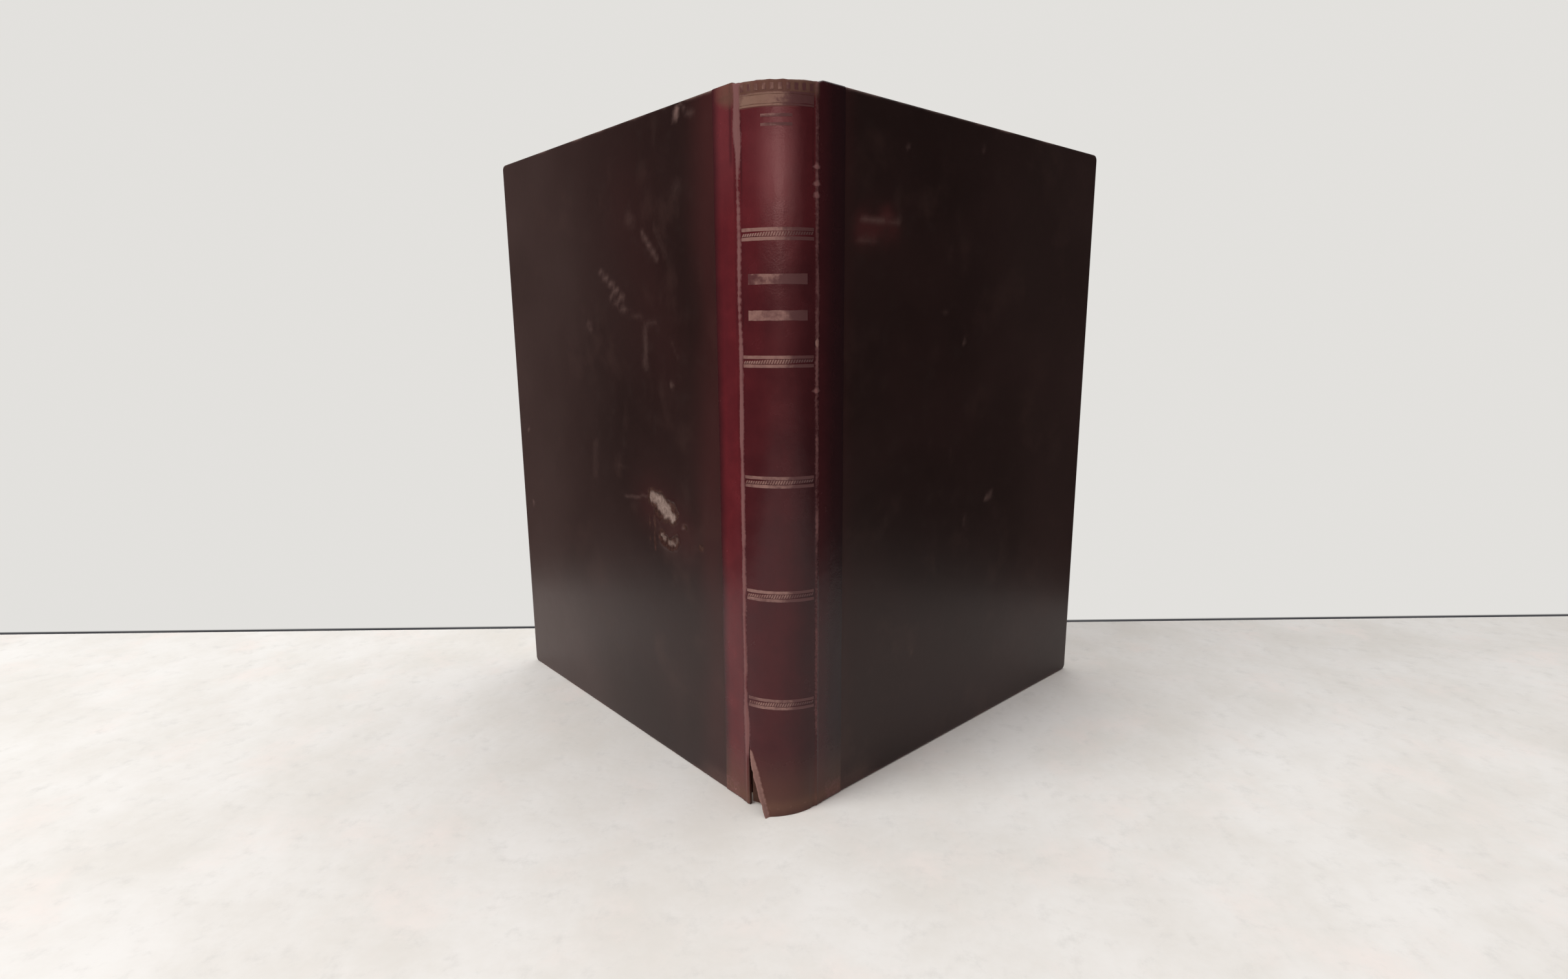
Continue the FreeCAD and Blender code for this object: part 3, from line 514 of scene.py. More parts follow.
def leather_shades(s, z):
    """The leather's paleness and darkness, as a pair: paler below the head, where it is faded and
    has a painted highlight, darkened along the edges of the strips and lower down the spine, and
    darkened towards the front side as painted shade."""
    patchy = 0.5 + 0.5 * rough(s, z, 5 * MM, 12 * MM, 45)
    # Painted highlight: the pale patch below the head on the spine, partly real fading.
    faded = hump(z, 229 * MM, 15 * MM) * hump(s, -0.5 * MM, 6.5 * MM) * (0.55 + 0.45 * patchy)
    faded = faded + 0.3 * ease(z, 205 * MM, 235 * MM) * ease(s, -ARC - 1 * MM, -ARC - 3 * MM)
    u = np.abs(s) - ARC
    uneven = 0.4 * MM * rough(s * 0 + np.sign(s), z, 1.0, 16 * MM, 47, 4)
    rim = 0.85 * ease(u + uneven, 8.0 * MM, 14.5 * MM)
    # Darker lower down the spine and towards its front side; the front-side part is painted shade.
    on_spine = ease(u, 0.0, -0.8 * MM) * (0.14 + 0.26 * ease(z, 215 * MM, 190 * MM)
                                          + 0.14 * ease(z, 165 * MM, 120 * MM)
                                          + 0.22 * ease(s, 2 * MM, 11 * MM))
    # Painted shade: the front strip is darkened, on the side away from the light.
    side = np.where(s > ARC - 0.6 * MM, 0.66 + 0.24 * ease(u, 1 * MM, 9 * MM), on_spine)
    crack = 0.9 * hump(u, -1.5 * MM, 0.5 * MM) + 0.5 * hump(u, 1.6 * MM, 0.6 * MM)
    rim_of_chip = 0.9 * hump(joint_chip(s, z), 0.35, 0.2)
    slit = 0.5 * hump(s, -ARC - 3.4 * MM, 0.8 * MM) * ease(z, 226 * MM, 232 * MM)
    return faded, np.clip(np.maximum.reduce([side + rim * (1 - side), crack * patchy, slit,
                                             rim_of_chip]), 0, 1)


def rounded_path(corners, radii, steps, bend_steps=4):
    """Points along the straight lines between corners, each inner corner rounded by a parabola
    that touches its two lines at the corner's radius. A corner is (v, z), each a column of
    values; the result is v and z with one row for each of the columns."""
    stops = [np.stack(np.broadcast_arrays(v, z), -1) for v, z in corners]
    pieces, start = [], stops[0]

    def straight(a, b, share):
        return a[:, None] + (b - a)[:, None] * share[None, :, None]

    for before, here, after, radius, count in zip(stops, stops[1:], stops[2:], radii, steps):
        radius = (np.zeros(len(here)) + radius)[:, None]
        reach_in, reach_out = before - here, after - here
        enter = here + reach_in * radius / np.linalg.norm(reach_in, axis=1)[:, None]
        leave = here + reach_out * radius / np.linalg.norm(reach_out, axis=1)[:, None]
        pieces.append(straight(start, enter, np.arange(count) / count))
        share = np.arange(bend_steps) / bend_steps
        first, second = straight(enter, here, share), straight(here, leave, share)
        pieces.append(first + (second - first) * share[None, :, None])
        start = leave
    pieces.append(straight(start, stops[-1], np.linspace(0.0, 1.0, steps[-1] + 1)))
    path = np.concatenate(pieces, axis=1)
    return path[..., 0], path[..., 1]


WALL_Z = spaced((1.6 * MM, 0), (28 * MM, 0.55 * MM), (250.6 * MM, 0.75 * MM))


def up_the_wall(tail, v, head):
    """A path that climbs from tail to head by the wall heights that all the leather shares."""
    rows = len(tail[0])
    wall_v = np.broadcast_to((v + np.zeros(rows))[:, None], (rows, len(WALL_Z)))
    wall_z = np.broadcast_to(WALL_Z[None, :], (rows, len(WALL_Z)))
    return (np.concatenate([tail[0][:, :-1], wall_v, head[0][:, 1:]], axis=1),
            np.concatenate([tail[1][:, :-1], wall_z, head[1][:, 1:]], axis=1))


def head_path(s, v, v_turned, top, low, radius):
    """Up the last of the wall, over the head and down the turn-in."""
    return rounded_path([(v, WALL_Z[-1] + 0 * s), (v, top), (v_turned, top), (v_turned, low)],
                        [radius, radius], [2, 3, 8])


def spine_paths(s):
    """Outer and inner path of the spine's section: a rubbed tail edge and a headcap."""
    one = np.ones_like(s)
    top = SPINE_TOP * one - 0.25 * MM * np.abs(rough(s, s * 0, 4 * MM, 1.0, 41))
    low = (SPINE_TOP - CAP_TURN_IN) * one
    turned = (HALF - CAP_DEPTH) * one

    def tail(side):
        return rounded_path([(side * 0.04 * MM * one, 0 * one), (side * HALF * one, 0 * one),
                             (side * HALF * one, WALL_Z[0] * one)], [0.25 * MM], [1, 2])

    outer = up_the_wall(tail(1), HALF, head_path(s, HALF * one, turned, top, low, 0.8 * MM))
    inner = up_the_wall(tail(-1), -HALF, head_path(
        s, -HALF * one, turned + PARED, (SPINE_TOP - CAP_DEPTH) * one, low, 0.1 * MM))
    return outer, inner


def strip_paths(s):
    """Outer and inner path of a board strip's section, folded over the head and the tail. The
    fold is shallow at the joint, where there is no board in it."""
    one = np.ones_like(s)
    onto_board = ease(np.abs(s), ARC + 2.8 * MM, ARC + BOARD_START)
    head_depth = CAP_DEPTH + (HALF - INSIDE - CAP_DEPTH) * onto_board
    tail_depth = 1.2 * MM + (HALF - INSIDE - 1.2 * MM) * onto_board
    top = SPINE_TOP + (COVER_TOP - SPINE_TOP) * ease(np.abs(s), ARC, ARC + BOARD_START)
    low = top - CAP_TURN_IN + (CAP_TURN_IN - TURN_IN) * onto_board
    fold = np.minimum(EDGE_RADIUS, 0.45 * head_depth)
    tail_fold = np.minimum(EDGE_RADIUS, 0.45 * tail_depth)

    def tail(v, turned, foot, radius):
        return rounded_path([(turned, TURN_IN * one), (turned, foot), (v, foot),
                             (v, WALL_Z[0] * one)], [radius, radius], [6, 3, 2])

    outer = up_the_wall(tail(HALF * one, HALF - tail_depth, 0 * one, tail_fold), HALF,
                        head_path(s, HALF * one, HALF - head_depth, top, low, fold))
    room = tail_depth - LEATHER - PARED
    inner = up_the_wall(
        tail(-HALF * one, HALF - tail_depth + PARED, PARED * one, np.minimum(0.3 * MM, 0.4 * room)),
        -HALF,
        head_path(s, -HALF * one, HALF - head_depth + PARED, top - PARED, low,
                  np.minimum(0.3 * MM, 0.4 * (head_depth - LEATHER - PARED))))
    return outer, inner


FLAP_RADIUS = (((JOINT_X + FLAP_SIDE) ** 2 + (FLAP_REACH - HALF) ** 2)
               / (2 * (FLAP_REACH - HALF)))
FLAP_END = math.asin((JOINT_X + FLAP_SIDE) / FLAP_RADIUS) - SEAM / FLAP_RADIUS
FLARE_TOP = 26.0 * MM


def flare(s, z, plan, normal):
    """Below the tear the sheet swings forward, from its own arc to a wider one that starts at
    the torn corner. The swing grows from nothing above the tear and fades to the front joint."""
    share = (s + SEAM_AT) / (2 * SEAM_AT)
    swing = np.clip((FLARE_TOP - z) / FLARE_TOP, 0, 1) ** 1.3 * ease(1 - share, 0.0, 0.12)
    angle = share * FLAP_END
    wide = np.stack([np.sin(angle), -np.cos(angle)], -1)
    centre = np.array([-FLAP_SIDE, JOINT_Y + FLAP_RADIUS - FLAP_REACH + HALF])
    swing = swing[..., None]
    plan = plan + (centre + FLAP_RADIUS * wide - plan) * swing
    normal = normal + (wide - normal) * swing
    normal = normal / np.linalg.norm(normal, axis=-1, keepdims=True)
    torn = ease(TEAR_HEIGHT - z, 0.0, 7 * MM)
    curl = 1.2 * MM * hump(share, 0.0, 0.055) * torn
    ragged = 0.45 * MM * rough(z, s * 0, 2.2 * MM, 1.0, 51) * hump(share, 0.0, 0.03) * torn
    tangent = np.stack([-normal[..., 1], normal[..., 0]], -1)
    return plan + normal * curl[..., None] + tangent * ragged[..., None], normal


def leather_colours(s, v, z, torn):
    """What red_leather reads at each point: raw at the tear, the tail and the chip, browned over
    the headcap, on the top band and at the foot, worn on the creases and the head's edge, faded
    in patches with a painted highlight below the head, and darkened in patches with painted
    shade towards the front side. All of the wear is on the outside, where v is positive."""
    outside = ease(v, -0.1 * MM, 0.2 * MM)
    share = (s + SEAM_AT) / (2 * SEAM_AT)
    tear_width = 0.05 + 0.05 * ease(z, TEAR_HEIGHT, 14 * MM)
    torn_edge = ease(TEAR_HEIGHT + 1 * MM - z, 0, 4 * MM) * hump(share, 0, tear_width) * torn
    edge_z = z + 0.5 * MM * rough(s, z * 0, 3 * MM, 1.0, 65)
    tail_edge = 0.62 * hump(edge_z, 3.0 * MM, 1.7 * MM)
    tail_edge = tail_edge * (0.65 + 0.5 * rough(s, z, 3 * MM, 1 * MM, 61))
    flesh = ease(v, 0.1 * MM, -0.2 * MM)
    raw = np.maximum.reduce([torn_edge, 0.8 * tail_edge, 0.75 * flesh * torn,
                             1.1 * joint_chip(s, z) * outside])
    near_spine = ease(s, -ARC - 13 * MM, -ARC - 8 * MM) * ease(s, ARC + 1.5 * MM, ARC)
    slope = 0.4 * np.maximum(-s - ARC - 5 * MM, 0) - 2 * MM * ease(s, -ARC, -ARC - 2 * MM)
    cap = ease(z - slope, 247.0 * MM, 250.6 * MM)
    cap = cap * (0.8 + 0.4 * rough(s, z, 3 * MM, 9 * MM, 63))
    cap = cap * (1 - 0.35 * ease(s, -ARC, -ARC - 1 * MM))
    head_band = hump(z, BAND_HEIGHTS[-1], 2.6 * MM) ** 0.5 * ease(s, 9 * MM, 3 * MM) * 0.9
    head_band = head_band * (np.abs(z - BAND_HEIGHTS[-1]) < 2.7 * MM) * (np.abs(s) < ARC)
    foot = 0.45 * ease(z, 26 * MM, 3 * MM) + 0.35 * hump(edge_z, 3.2 * MM, 2.2 * MM)
    browned = np.maximum.reduce([cap * near_spine, head_band, foot])
    wear = crease_wear(s, z) + 0.25 * hump(z, 252.6 * MM, 0.9 * MM)
    faded, darkened_and_shade = leather_shades(s, z)
    darkened_and_shade = np.maximum(darkened_and_shade, 0.75 * ease(edge_z, 1.6 * MM, 0.6 * MM))
    darkened_and_shade = np.maximum(darkened_and_shade, 0.6 * hump(z, 249.6 * MM, 0.5 * MM) * near_spine)
    return {"wear": wear * outside, "raw": raw, "browned": np.clip(browned, 0, 1),
            "faded": faded, "darkened_and_shade": darkened_and_shade}


def leather_piece(name, s, paths, torn=False):
    """A closed piece of leather: the loop of its outer and inner path, carried along s."""
    (outer_v, outer_z), (inner_v, inner_z) = paths
    v = np.concatenate([outer_v, inner_v[:, ::-1]], axis=1)
    z = np.concatenate([outer_z, inner_z[:, ::-1]], axis=1)
    along = np.broadcast_to(s[:, None], v.shape)
    plan, normal = leather_frame(along)
    if torn:
        plan, normal = flare(along, z, plan, normal)
    out = v + leather_relief(along, z) * ease(v, -1.2 * MM, -0.4 * MM)
    points = np.concatenate([plan + normal * out[..., None], z[..., None]], axis=-1)

    rows, columns = v.shape
    half = columns // 2
    number = np.arange(rows * columns).reshape(rows, columns)
    outer, inner = number[:, :half], number[:, :half - 1:-1]

    def end(k):
        return np.stack([outer[k, :-1], outer[k, 1:], inner[k, 1:], inner[k, :-1]], axis=1)

    faces = [grid_faces(rows, columns, round_columns=True), end(0), flip(end(-1))]
    return build(name, points, faces, RED_LEATHER, sharp=60.0,
                 **leather_colours(along, v, z, torn))


def spine_leather():
    """The leather between the two seams, with the torn corner."""
    s = np.linspace(-SEAM_AT, SEAM_AT, 77)
    piece = leather_piece("spine_leather_worn", s, spine_paths(s), torn=True)
    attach(piece, "block")
    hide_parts("spine_leather")


def leather_strip(side):
    """The leather from the seam over the crease and onto the board."""
    s = spaced((SEAM_AT, 0), (ARC + 0.95 * MM, 0.12 * MM), (ARC + 4 * MM, 0.3 * MM),
               (ARC + STRIP_WIDTH, 0.6 * MM))
    if side == "rear":
        s = -s[::-1]
    piece = leather_piece(f"{side}_leather_strip_worn", s, strip_paths(s))
    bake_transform(piece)
    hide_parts(f"{side}_leather_strip")


# Gilt tooling: thin raised leaf that follows the leather.

def leaf_plate(s, z, wobble_seed):
    """A thin closed plate on the spine over the grid of s and z, its long edges wobbling."""
    s, z = np.meshgrid(s, z, indexing="ij")
    middle = (z.min() + z.max()) / 2
    spread = 1 + 0.10 * rough(s, z * 0 + wobble_seed, 2.5 * MM, 1.0, 71)
    z = middle + (z - middle) * spread
    plan, normal = leather_frame(s)

    def layer(v):
        out = (HALF + leather_relief(s, z) + v)[..., None]
        return np.concatenate([plan + normal * out, z[..., None]], axis=-1).reshape(-1, 3)

    return np.concatenate([layer(0.055 * MM), layer(-0.05 * MM)]), sheet_faces(*s.shape)


def gilt_tooling():
    """Double fillets with a rope roll between, two bars, and at the head a wide band between
    thin lines, ticks over it and two short lines under it."""
    reach = 12.35 * MM
    plates = []

    def fillet(middle, height, half_length, steps=56):
        s = np.linspace(-half_length, half_length, steps)
        z = np.linspace(middle - height / 2, middle + height / 2, 4)
        plates.append(leaf_plate(s, z, middle / MM))

    def strokes(middle, height, width, count, half_length, lean):
        for place in np.linspace(-half_length, half_length, count):
            s = np.linspace(-width / 2, width / 2, 3) + place
            z = np.linspace(middle - height / 2, middle + height / 2, 4)
            points, faces = leaf_plate(s, z, place / MM)
            points[:, 0] += (points[:, 2] - middle) * lean
            plates.append((points, faces))

    for middle in BAND_HEIGHTS[:-1]:
        for step in (-1.45 * MM, 1.45 * MM):
            fillet(middle + step, 1.1 * MM, reach)
        strokes(middle, 1.35 * MM, 0.62 * MM, 27, reach - 0.8 * MM, 0.45)
    head_band = BAND_HEIGHTS[-1] - 0.3 * MM
    fillet(head_band, 2.6 * MM, reach)
    for step in (-1.75 * MM, 1.75 * MM):
        fillet(head_band + step, 0.6 * MM, reach)
    strokes(head_band + 3.7 * MM, 2.0 * MM, 1.15 * MM, 10, reach - 0.9 * MM, 0.0)
    for middle in SHORT_LINE_HEIGHTS:
        fillet(middle, 0.9 * MM, 5.0 * MM, steps=22)
    for middle in BAR_HEIGHTS:
        fillet(middle, 3.3 * MM, 10.0 * MM, steps=44)
    points, faces = joined(plates)
    x, z = points[:, 0], points[:, 2]
    kept = 0.14 - 0.55 * ease(x, 1 * MM, 11 * MM) + 0.12 * hump(x, -5 * MM, 6 * MM)
    kept = kept - 0.30 * hump(z, BAR_HEIGHTS[1], 3 * MM) - 0.08 * hump(z, BAR_HEIGHTS[0], 3 * MM)
    kept = kept - 0.42 * hump(z, 241.0 * MM, 2.4 * MM) - 0.15 * ease(z, 248.6 * MM, 249.4 * MM)
    kept = kept - 0.10 * ease(z, 150 * MM, 130 * MM)
    piece = build("gilt_tooling_worn", points, faces, GILT, sharp=60.0, kept=kept,
                  browned=ease(z, 243.4 * MM, 244.2 * MM))
    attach(piece, "block")
    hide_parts("gilt_tooling")


# Covers. u runs from the joint axis to the fore edge, v points out, z is up.

def on_cover(side, u, v, z):
    """A cover's (u, v, z) in the book's frame: u and v turned by the opening about the joint."""
    way = WAY[side]
    u, v, z = np.broadcast_arrays(u, v, z)
    x = way * (JOINT_X + u * math.sin(OPENING) + v * math.cos(OPENING))
    y = JOINT_Y + u * math.cos(OPENING) - v * math.sin(OPENING)
    return np.stack([x, y, z], axis=-1)


CHIPS = [
    # (u, z, half length, half height, ragged outline in halves)
    (50.2, 106.4, 9.8, 5.85,
     [(0.98, 0.80), (0.30, 1.00), (-0.07, 0.60), (-0.66, 0.50), (-1.00, -0.22), (-0.83, -0.68),
      (-0.35, -0.82), (0.03, -0.62), (0.43, -1.00), (0.76, -0.62), (0.73, -0.09), (1.00, 0.27)]),
    (47.9, 93.5, 6.9, 3.4,
     [(1.00, 0.20), (0.29, 0.50), (-0.01, -0.03), (-0.81, 1.00), (-1.00, 0.00), (-0.75, -0.62),
      (-0.06, -1.00), (0.64, -0.74), (0.94, -0.41)]),
]


def chip_depth(u, z, chip):
    """Distance inside the chip's outline, in metres, negative outside it."""
    u0, z0, half_u, half_z, outline = chip
    ends = np.array(outline) * [half_u, half_z] * MM + np.array([u0, z0]) * MM
    nearest, inside = np.full(u.shape, 1.0), np.zeros(u.shape, bool)
    for (au, az), (bu, bz) in zip(ends, np.roll(ends, -1, axis=0)):
        du, dz = bu - au, bz - az
        t = np.clip(((u - au) * du + (z - az) * dz) / (du * du + dz * dz), 0, 1)
        nearest = np.minimum(nearest, np.hypot(u - au - t * du, z - az - t * dz))
        crosses = (az > z) != (bz > z)
        inside ^= crosses & (u < au + (z - az) * du / np.where(dz == 0, 1.0, dz))
    return np.where(inside, nearest, -nearest)


def stroke(u, z, u0, z0, u1, z1, width):
    """1 on the line from (u0, z0) to (u1, z1), falling off over width. All in millimetres."""
    u, z = u / MM, z / MM
    du, dz = u1 - u0, z1 - z0
    t = np.clip(((u - u0) * du + (z - z0) * dz) / (du * du + dz * dz), 0, 1)
    return np.exp(-((np.hypot(u - u0 - t * du, z - z0 - t * dz) / width) ** 2))


REAR_SCUFFS = [
    # (u, z) to (u, z), width, strength
    (93.1, 199.7, 75.8, 188.7, 1.6, 0.5), (85.6, 189.0, 73.8, 182.8, 1.5, 0.4),
    (104.9, 178.2, 104.0, 177.0, 2.2, 0.45), (59.7, 176.7, 60.8, 162.6, 2.6, 0.3),
    (42.9, 155.9, 42.5, 155.0, 1.6, 0.4), (59.0, 211.5, 50.5, 202.9, 1.8, 0.4),
    (51.0, 214.0, 44.0, 203.0, 2.2, 0.2), (69.3, 218.7, 67.0, 217.0, 4.0, 0.25),
    (34.5, 226.3, 37.0, 225.0, 4.0, 0.2), (92.4, 118.1, 77.6, 119.9, 0.9, 0.2),
    (80.4, 106.4, 63.2, 109.0, 1.2, 0.3), (104.6, 127.3, 106.1, 112.6, 3.5, 0.22),
    (75.0, 184.0, 52.0, 178.0, 1.4, 0.25), (38.0, 166.0, 42.0, 172.0, 1.2, 0.2),
    (24.8, 94.5, 24.9, 94.5, 0.9, 0.6), (36.7, 101.3, 38.0, 100.5, 1.4, 0.5),
    (173.0, 125.7, 173.0, 127.0, 1.0, 0.5), (173.0, 88.7, 173.0, 90.0, 1.0, 0.5),
    (32.7, 252.6, 34.5, 249.0, 1.3, 0.9), (30.0, 251.0, 24.0, 248.0, 1.5, 0.35),
]
PALE_BOARD = [
    # bare board in the chips: (u, z) to (u, z), width, strength
    (59.0, 109.8, 56.6, 109.0, 3.5, 1.05), (54.2, 107.6, 50.0, 105.2, 4.6, 1.15),
    (47.4, 104.0, 45.4, 103.0, 2.9, 1.0), (53.2, 94.4, 52.0, 93.4, 3.0, 0.76),
    (48.6, 92.3, 45.4, 92.3, 2.8, 0.76), (43.6, 93.2, 43.0, 95.2, 1.9, 0.68),
    (37.0, 101.4, 36.0, 101.2, 1.8, 0.40), (26.6, 94.8, 26.0, 94.4, 1.8, 0.52),
]
FRONT_SCUFFS = [
    (45.5, 239.9, 46.5, 239.5, 1.4, 0.3), (70.2, 182.6, 71.0, 182.0, 1.6, 0.25),
    (83.8, 169.9, 84.5, 171.5, 1.6, 0.3), (107.6, 104.3, 104.0, 103.0, 1.8, 0.35),
    (88.5, 94.3, 88.6, 97.0, 1.2, 0.3), (53.3, 46.6, 55.0, 46.0, 1.8, 0.25),
    (91.5, 245.5, 93.0, 245.0, 1.2, 0.3), (22.0, 212.9, 42.0, 214.5, 1.4, 0.34),
    (19.8, 206.3, 29.9, 206.9, 1.3, 0.30), (76.0, 130.0, 76.5, 122.0, 1.2, 0.15),
    (62.0, 131.0, 73.0, 130.0, 1.0, 0.15),
]


def strokes_at(u, z, strokes):
    """The strongest of several strokes at each point."""
    total = np.zeros(u.shape)
    for *line, strength in strokes:
        total = np.maximum(total, strength * stroke(u, z, *line))
    return total


def cover_marks(side, u, z):
    """(scuff, reddened, bare) of a cover's face, as the photograph shows them."""
    ragged = 1.1 * MM * rough(u, z, 2.4 * MM, 2.4 * MM, 89)
    if side == "rear":
        scuff = 1.1 * strokes_at(u + ragged, z + ragged, REAR_SCUFFS)
        warm = 0.22 * stroke(u, z, 70, 222, 45, 170, 26.0)
        warm = np.maximum(warm, 0.4 * stroke(u, z, 60, 106, 36, 97, 15.0))
        pale = strokes_at(u + 0.5 * ragged, z - 0.5 * ragged, PALE_BOARD)
        under = strokes_at(u + ragged, z, [(62.2, 102.0, 62.4, 87.0, 0.9, 0.45),
                                           (58.6, 102.0, 58.6, 88.0, 0.8, 0.5)])
        bare = np.maximum.reduce([0.45 * ease(chip_depth(u, z, chip), -0.6 * MM, 0.3 * MM)
                                  for chip in CHIPS] + [pale, under])
    else:
        scuff = 1.5 * strokes_at(u + ragged, z + ragged, FRONT_SCUFFS)
        warm = stroke(u, z, 24, 210, 34, 212, 7.5) * (0.75 + 0.6 * rough(u, z, 7 * MM, 7 * MM, 83))
        bare = np.zeros(u.shape)
    near = 1.5 * ease(u, 40 * MM, 12 * MM) if side == "rear" else 0.9 * ease(u, 24 * MM, 12 * MM)
    scuff = np.maximum(scuff, 0.4 * ease(z, 11 * MM, 3 * MM) * ease(u, 40 * MM, 22 * MM))
    clouds = 0.6 + 0.5 * rough(u, z, 25 * MM, 60 * MM, 85)
    return scuff, np.maximum(warm, 0.45 * near * clouds), bare


def fading(side, u, z):
    """How far the covering is paler: towards the fore edge, and more on the rear cover."""
    clouds = 0.8 + 0.4 * rough(u, z, 40 * MM, 50 * MM, 88)
    strength = 1.0 if side == "rear" else 0.45
    return strength * ease(u, 45 * MM, 185 * MM) * clouds


def face_relief(side, u, z):
    """Slow hollows of a warped old board, in the sense of v."""
    seed = 91 if side == "front" else 95
    return (0.16 * MM * rough(u, z, 60 * MM, 70 * MM, seed)
            + 0.02 * MM * rough(u, z, 9 * MM, 9 * MM, seed + 7))


def ring_profile():
    """(d, v) of the rings round a cover: d is how far out of the inset rectangle, v the
    height. Over the rounded edge, round the board, over the turn-in, then back inside."""
    r, e = CORNER_RADIUS, EDGE_RADIUS
    turn = np.linspace(0, math.pi / 2, 6)
    outside = [(0.4 * (r - e), FACE)]
    outside += list(zip(r - e + e * np.sin(turn), FACE - e + e * np.cos(turn)))
    outside += [(r, FACE - e - 0.7 * MM), (r, INSIDE + e + 0.7 * MM)]
    outside += list(zip(r - e + e * np.cos(turn), INSIDE + e - e * np.sin(turn)))
    outside += [(r - share * TURN_IN, INSIDE) for share in (0.45, 0.7, 0.9, 1.0)]
    under = INSIDE + PARED
    return outside + [(r - TURN_IN, under), (r - 0.5 * TURN_IN, under), (r - SKIN, under),
                      (r - SKIN, -HALF)]


def ring(u_lines, z_lines, d):
    """Points (u, z) round three sides of the inset rectangle, moved out by d: head, corner,
    fore edge, corner, tail. The corner's radius is d, or a hair where d is inwards."""
    radius = 0.5 * (d + math.sqrt(d * d + (0.3 * MM) ** 2))
    u0, u1, z0, z1 = u_lines[0], u_lines[-1], z_lines[0], z_lines[-1]
    cu, ct, cb = u1 + d - radius, z1 + d - radius, z0 - d + radius
    along = u0 + (u_lines - u0) * (cu - u0) / (u1 - u0)
    down = ct + (z_lines[::-1] - z1) * (ct - cb) / (z1 - z0)
    turn = np.linspace(math.pi / 2, 0, CORNER_STEPS + 2)[1:-1]
    u = np.concatenate([along, cu + radius * np.cos(turn), np.full(len(down), u1 + d),
                        cu + radius * np.cos(turn[::-1]), along[::-1]])
    z = np.concatenate([np.full(len(along), z1 + d), ct + radius * np.sin(turn), down,
                        cb - radius * np.sin(turn[::-1]), np.full(len(along), z0 - d)])
    return u, z


def stitch(a, b):
    """Faces between two rows of point numbers, triangles where a point of a row repeats."""
    faces = []
    for a0, a1, b0, b1 in zip(a[:-1].tolist(), a[1:].tolist(), b[:-1].tolist(), b[1:].tolist()):
        face = [a0]
        face += [a1] if a1 != a0 else []
        face += [b1]
        face += [b0] if b1 != b0 else []
        faces.append(face)
    return faces


def side_cover(side):
    """The dark covering as one closed skin: a face, rings round the board, and its own inside."""
    start = STRIP_WIDTH - 0.1 * MM
    inset_u, inset_top = COVER_WIDTH - CORNER_RADIUS, COVER_TOP - CORNER_RADIUS - 0.03 * MM
    foot = CORNER_RADIUS
    if side == "rear":
        u_lines = spaced((start, 0), (38 * MM, 2.1 * MM), (62 * MM, 0.5 * MM), (inset_u, 2.6 * MM))
        z_lines = spaced((foot, 0), (88 * MM, 2.6 * MM), (114 * MM, 0.5 * MM),
                         (inset_top, 2.6 * MM))
    else:
        u_lines = spaced((start, 0), (inset_u, 2.2 * MM))
        z_lines = spaced((foot, 0), (inset_top, 2.4 * MM))
    rows, columns = len(u_lines), len(z_lines)
    u, z = np.meshgrid(u_lines, z_lines, indexing="ij")
    blocks = [(u.ravel(), np.full(u.size, FACE), z.ravel())]
    profile = ring_profile()
    for d, v in profile:
        ring_u, ring_z = ring(u_lines, z_lines, d)
        blocks.append((ring_u, np.full(ring_u.size, v), ring_z))
    blocks.append((u.ravel(), np.full(u.size, -HALF), z.ravel()))
    u, v, z = (np.concatenate([block[k] for block in blocks]) for k in range(3))

    grid = np.arange(rows * columns).reshape(rows, columns)
    border = np.concatenate([
        grid[:, -1], np.full(CORNER_STEPS, grid[-1, -1]), grid[-1, ::-1],
        np.full(CORNER_STEPS, grid[-1, 0]), grid[::-1, 0]])
    around = len(border)
    first_ring = rows * columns
    last_ring = first_ring + (len(profile) - 1) * around
    inner_first = last_ring + around
    ring_number = np.arange(around)
    end = ([*grid[0], *(first_ring + np.arange(len(profile)) * around),
            *(inner_first + grid[0, ::-1]),
            *(first_ring + around - 1 + np.arange(len(profile))[::-1] * around)])
    faces = [grid_faces(rows, columns), flip(grid_faces(len(profile), around, first_ring)),
             flip(grid_faces(rows, columns, inner_first))]
    loose = (stitch(border, first_ring + ring_number)
             + stitch(last_ring + ring_number, inner_first + border) + [end])

    on_face = ease(v, FACE - EDGE_RADIUS, FACE)
    relief = face_relief(side, u, z) * on_face * ease(COVER_WIDTH - u, 0, 6 * MM)
    if side == "rear":
        for chip in CHIPS:
            depth = chip_depth(u, z, chip)
            relief = relief - 0.42 * MM * ease(depth, -0.05 * MM, 0.4 * MM) * on_face
            relief = relief + 0.10 * MM * hump(depth, -0.5 * MM, 0.5 * MM) * on_face
    scuff, reddened, bare = (mark * on_face for mark in cover_marks(side, u, z))
    near_edge = np.minimum.reduce([COVER_WIDTH - u, z, COVER_TOP - z])
    rubbed_edge = ease(near_edge, 1.6 * MM, 0.2 * MM) * ease(v, INSIDE + 1 * MM, FACE)
    rubbed_edge = rubbed_edge * (0.45 + 0.75 * rough(u + v, z, 7 * MM, 7 * MM, 87, 4))
    scuff = np.maximum(scuff, rubbed_edge)

    points = on_cover(side, u, v + relief, z)
    if side == "rear":
        faces, loose = [flip(block) for block in faces], [face[::-1] for face in loose]
    piece = build(f"{side}_side_cover_worn", points, [*faces, loose], DARK_SKIN, sharp=55.0,
                  scuff=scuff, reddened=reddened, bare=bare, faded=fading(side, u, z))
    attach(piece, f"{side}_cover")
    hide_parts(f"{side}_side_cover")


# Paper: the pages, the endpapers and the folds that hinge them to the covers.

